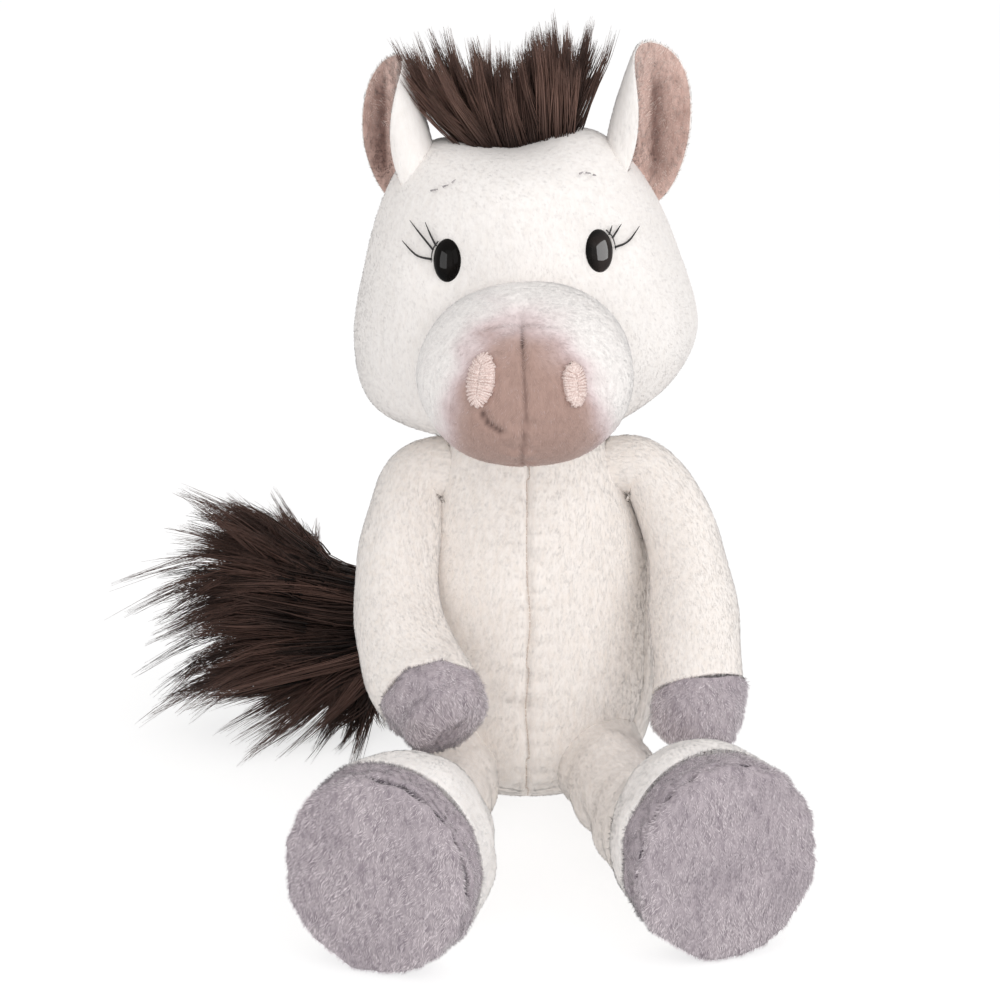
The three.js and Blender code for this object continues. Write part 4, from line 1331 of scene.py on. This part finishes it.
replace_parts(makeTail("tailCore", 120, 0.0, 0.7), "tail_stub")
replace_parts(makeTail("tailLocks", 190, 0.6, 1.05), "tail_hair")
print("tail made")


# Threads: lashes, brows and the satin stitch of the nostrils

def threadMaterial(name, roughness, colour, dark, light):
    material, tree, shader = bareMaterial(name, roughness, colour)
    stops = [(0.35, linear(*dark)), (0.65, linear(*light))]
    tree.links.new(rampOf(tree, noiseOf(tree, 2500, 2), stops), shader.inputs["Base Color"])
    return material


middleTone = 0.5  # threads have no tone of their own


def threadPiece(name, paths, radii, material, sides):
    tones = np.full(len(paths), middleTone)
    return strandPiece(name, np.array(paths), radii, tones, material, sides)


threadBlack = threadMaterial("threadBlack", 0.6, (20, 17, 17), (12, 10, 10), (34, 30, 30))
threadGrey = threadMaterial("threadGrey", 0.8, (168, 163, 163), (140, 135, 136), (185, 180, 180))
threadPink = threadMaterial("threadPink", 0.6, (226, 207, 201), (204, 180, 173), (238, 221, 215))
threadCream = threadMaterial("threadCream", 0.8, (205, 192, 182), (190, 174, 162), (222, 209, 199))
threadViolet = threadMaterial("threadViolet", 0.8, (110, 102, 110), (84, 76, 84), (120, 111, 119))

lashes = {
    "rows": [
        [(0.62, 0.62), (1, 1.15), (1.42, 1.85)],
        [(0.85, 0.44), (1.6, 1.05), (2.5, 1.75)],
        [(1, 0.02), (2, 0.16), (2.9, 0.7)],
        [(0.45, 0.85), (0.8, 0.55), (0.98, 0.22), (1.04, -0.12)],
    ],
    "reach": {"right": (0.8, 0.88, 1, 1), "left": (0.3, 0.38, 0.88, 1)},
    "thick": (0.0003, 0.0003, 0.00033, 0.0002), "lift": 0.0011, "steps": 12,
}
brows = {
    "dashes": {
        "right": [((-0.0241, 0.0771), (-0.0221, 0.0777)), ((-0.0207, 0.0783), (-0.0191, 0.0789)),
                  ((-0.0182, 0.0793), (-0.0172, 0.0801))],
        "left": [((0.0164, 0.0797), (0.0174, 0.08)), ((0.0181, 0.0797), (0.0195, 0.0793)),
                 ((0.02, 0.0789), (0.0208, 0.0786))],
    },
    "thick": 0.0003, "lift": 0.0013,
}


def threadsOnHead(name, lines, thicks, lift, steps, material, node):
    paths = []
    for line in lines:
        spots = curveThrough(np.array(line), steps)
        paths.append([np.array(onFace(headTree, x, z, lift)[0]) for x, z in spots])
    radii = np.stack([taper(1, steps, thick, 0.3)[0] for thick in thicks])
    piece = threadPiece(name, paths, radii, material, 8)
    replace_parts(piece, node)
    dress([piece], "head")


for word, side in eyeSides.items():
    eyeX, eyeZ = eyeSpot(side)
    lines = []
    for row, reach in zip(lashes["rows"], lashes["reach"][word]):
        root = np.array(row[0])
        row = root + (np.array(row) - root) * reach
        lines.append(np.array([eyeX, eyeZ]) + row * [side * eye["halfWide"], eye["halfHigh"]])
    threadsOnHead(
        f"{word}Lashes", lines, lashes["thick"], lashes["lift"], lashes["steps"],
        threadBlack, f"{word}_lashes",
    )
    threadsOnHead(
        f"{word}BrowStitch", brows["dashes"][word], [brows["thick"]] * 3, brows["lift"], 4,
        threadGrey, f"{word}_brow_stitch",
    )

frontStitch = {
    "from": 0.004, "to": 0.106, "pitch": 0.0024, "long": 0.0021, "thick": 0.00016, "lift": 0.0007,
}


def makeFrontStitch():
    tree = treeOf(torsoCover)
    starts = np.arange(frontStitch["from"], frontStitch["to"], frontStitch["pitch"])
    paths = []
    for start in starts:
        spots = []
        for high in np.linspace(start, start + frontStitch["long"], 4):
            x = float(seamWander(np.array([[0, 0, high]]))[0])
            point, normal, _, _ = tree.ray_cast(Vector((x, -farAhead, high)), Vector((0, 1, 0)))
            spots.append(np.array(point + normal * frontStitch["lift"]))
        paths.append(spots)
    radii = np.full((len(paths), 4), frontStitch["thick"])
    piece = threadPiece("frontStitch", paths, radii, threadCream, 6)
    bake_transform(piece)


makeFrontStitch()

soleStitch = {"count": 60, "share": 0.8, "thick": 0.00036, "sink": 0.0009}


def makeSoleStitch(word):  # the gathered seam round the sole
    limb = limbLine(legs[word])
    at = limb["run"][-1] - foot["sole"]
    centre, across, up = (onLimb(limb, key, at) for key in ("line", "across", "along"))
    ahead = np.cross(across, up)
    radius = np.interp(at, limb["run"], limb["half"]) - pileRoom - soleStitch["sink"]
    paths = []
    pitch = 2 * math.pi / soleStitch["count"]
    for k in range(soleStitch["count"]):
        turns = pitch * (k + np.linspace(0, soleStitch["share"] * chance.uniform(0.7, 1.2), 5))
        reach = radius + chance.normal(0, 0.0001)
        high = reach * np.sin(turns) * limb["tall"]
        ring = across * (reach * np.cos(turns))[:, None] + up * high[:, None]
        paths.append(centre + ring + ahead * chance.normal(0, 0.0001))
    radii = np.full((len(paths), 5), soleStitch["thick"])
    piece = threadPiece(f"{word}SoleStitch", paths, radii, threadViolet, 6)
    dress([piece], f"{word}_leg")


for word in legs:
    makeSoleStitch(word)

nostril = {
    "halfWide": 0.0041, "halfHigh": 0.0073, "proud": 0.0021,
    "out": {"left": 0.41, "right": 0.405}, "up": {"left": 0.2, "right": 0.3},
    "threads": 38, "thick": 0.00038, "spine": 0.7, "steps": 7, "size": {"left": 0.82, "right": 1},
    "sunk": 0.0003, "padShare": 0.97,
}


def makeNostril(word, side):
    x = side * nostril["out"][word] * muzzle["half"][0]
    z = muzzle["rise"] + nostril["up"][word] * muzzle["half"][2]
    point, normal = onFace(muzzleTree, x, z)
    across = Vector(np.cross(upAxis, np.array(normal))).normalized()
    rise = normal.cross(across)
    basis = np.array([across, rise, normal])
    turns = np.linspace(0, 2 * math.pi, nostril["threads"], endpoint=False)
    turns = turns + chance.normal(0, 0.03, len(turns))
    halfWide, halfHigh = (nostril["size"][word] * nostril[key] for key in ("halfWide", "halfHigh"))
    rim = np.stack([halfWide * np.cos(turns), halfHigh * np.sin(turns)], 1)
    rim = rim * chance.uniform(0.95, 1.05, (len(rim), 1))
    inner = np.stack([rim[:, 0] * 0.02, rim[:, 1] * nostril["spine"] - nostril["sunk"]], 1)
    t = np.linspace(0, 1, nostril["steps"])[None, :, None]
    flat = inner[:, None] * (1 - t) + rim[:, None] * t
    off = np.hypot(flat[..., 0] / halfWide, flat[..., 1] / halfHigh)
    lift = nostril["proud"] * np.sqrt(np.clip(1 - off**2, 0, 1))
    lift = lift - nostril["sunk"] * (1 - t[..., 0]) ** 3
    local = np.concatenate([flat, lift[..., None]], 2)
    paths = local @ basis + np.array(point)
    radii = nostril["thick"] * np.ones(paths.shape[:2])
    piece = threadPiece(f"{word}NostrilStitching", paths, radii, threadPink, 7)
    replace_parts(piece, f"{word}_nostril_stitching")
    wide, high = halfWide * nostril["padShare"], halfHigh * nostril["padShare"]
    size = Matrix.Diagonal((wide, high, nostril["proud"] * 0.95, 1))
    seat = Matrix.Translation(point) @ Matrix(basis.tolist()).transposed().to_4x4()
    pad = ballMesh(f"{word}NostrilPad", 32, 24, threadPink, seat @ size)
    dress([piece, pad], "head")


for word, side in eyeSides.items():
    makeNostril(word, side)
print("threads made")


# Camera, floor and light

view = {
    "from": (0, -1.1126, 0.4495), "at": (-0.0082, 0, 0.0884), "lens": 144.5,
    "world": 0.7, "air": (1, 0.99, 0.985, 1), "lit": (0, -0.04, 0.11), "eyesAt": (0, -0.04, 0.17),
    "floor": {"size": 6, "paper": 0.4, "shown": 0.72, "bounced": 0.46},
    "lamps": {
        "key": {"from": (0.75, -0.7, 0.6), "size": (0.9, 0.9), "power": 3.7},
        "front": {"from": (-0.2, -1.25, 0.6), "size": (1.2, 1.2), "power": 5.5},
    },
    "windows": {
        "left": {"from": (0.62, -0.62, 0.34), "size": (1.3, 0.95), "power": 190.0},
        "right": {"from": (-0.62, -0.62, 0.18), "size": (0.7, 1.0), "power": 26.0},
    },
}


def seenStraight(tree):  # 1 for what the camera sees, also in a mirror or through glass
    rays = tree.nodes.new("ShaderNodeLightPath")
    seen = rays.outputs["Is Camera Ray"]
    for name in ("Is Glossy Ray", "Is Transmission Ray"):
        both = tree.nodes.new("ShaderNodeMath")
        both.operation = "MAXIMUM"
        tree.links.new(seen, both.inputs[0])
        tree.links.new(rays.outputs[name], both.inputs[1])
        seen = both.outputs[0]
    return seen


def shownOrBounced(tree, shown, bounced):
    mix = tree.nodes.new("ShaderNodeMixShader")
    tree.links.new(seenStraight(tree), mix.inputs[0])
    tree.links.new(bounced.outputs[0], mix.inputs[1])
    tree.links.new(shown.outputs[0], mix.inputs[2])
    return mix.outputs[0]


def whiteGround():
    material = bpy.data.materials.new("paperWhite")
    material.use_nodes = True
    tree = material.node_tree
    tree.nodes.remove(tree.nodes["Principled BSDF"])
    paper = tree.nodes.new("ShaderNodeBsdfDiffuse")
    paper.inputs["Color"].default_value = (*[view["floor"]["paper"]] * 3, 1)
    glows = [tree.nodes.new("ShaderNodeEmission") for _ in range(2)]
    for glow, name in zip(glows, ("shown", "bounced")):
        glow.inputs["Strength"].default_value = view["floor"][name]
    total = tree.nodes.new("ShaderNodeAddShader")
    tree.links.new(paper.outputs[0], total.inputs[0])
    tree.links.new(shownOrBounced(tree, *glows), total.inputs[1])
    tree.links.new(total.outputs[0], tree.nodes["Material Output"].inputs["Surface"])
    return material


def makeFloor():
    bm = bmesh.new()
    bmesh.ops.create_grid(bm, x_segments=1, y_segments=1, size=view["floor"]["size"])
    ground = finishBmesh("floor", bm, whiteGround(), smooth=False)


def makeWorld():
    world = bpy.data.worlds.new("studio")
    bpy.context.scene.world = world
    world.use_nodes = True
    tree = world.node_tree
    air = tree.nodes["Background"]
    air.inputs["Strength"].default_value = view["world"]
    air.inputs["Color"].default_value = view["air"]
    bright = tree.nodes.new("ShaderNodeBackground")
    bright.inputs["Color"].default_value = white
    surface = tree.nodes["World Output"].inputs["Surface"]
    tree.links.new(shownOrBounced(tree, bright, air), surface)


def facing(place, target):  # the turn that looks from one place to another
    return (Vector(target) - Vector(place)).to_track_quat("-Z", "Y").to_euler()


def makeLamp(name, place, target):
    lamp = bpy.data.lights.new(name, "AREA")
    lamp.shape = "RECTANGLE"
    lamp.size, lamp.size_y = place["size"]
    lamp.energy = place["power"]
    lampObject = bpy.data.objects.new(name, lamp)
    lampObject.location = place["from"]
    lampObject.rotation_euler = facing(place["from"], target)
    bpy.context.scene.collection.objects.link(lampObject)
    return lampObject


def makeCamera():
    lens = bpy.data.cameras.new("camera")
    lens.lens = view["lens"]
    lens.sensor_width = 36
    lens.clip_end = 30
    camera = bpy.data.objects.new("camera", lens)
    camera.location = view["from"]
    camera.rotation_euler = facing(view["from"], view["at"])
    bpy.context.scene.collection.objects.link(camera)
    bpy.context.scene.camera = camera


makeFloor()
makeWorld()
for name, place in view["lamps"].items():
    makeLamp(name, place, view["lit"])
for word, place in view["windows"].items():  # each shows in one eye alone
    window = makeLamp(f"{word}Window", place, view["eyesAt"])
    window.light_linking.receiver_collection = eyeOnly[word]
makeCamera()
bpy.context.scene.view_settings.view_transform = "Standard"
print("light and camera set")
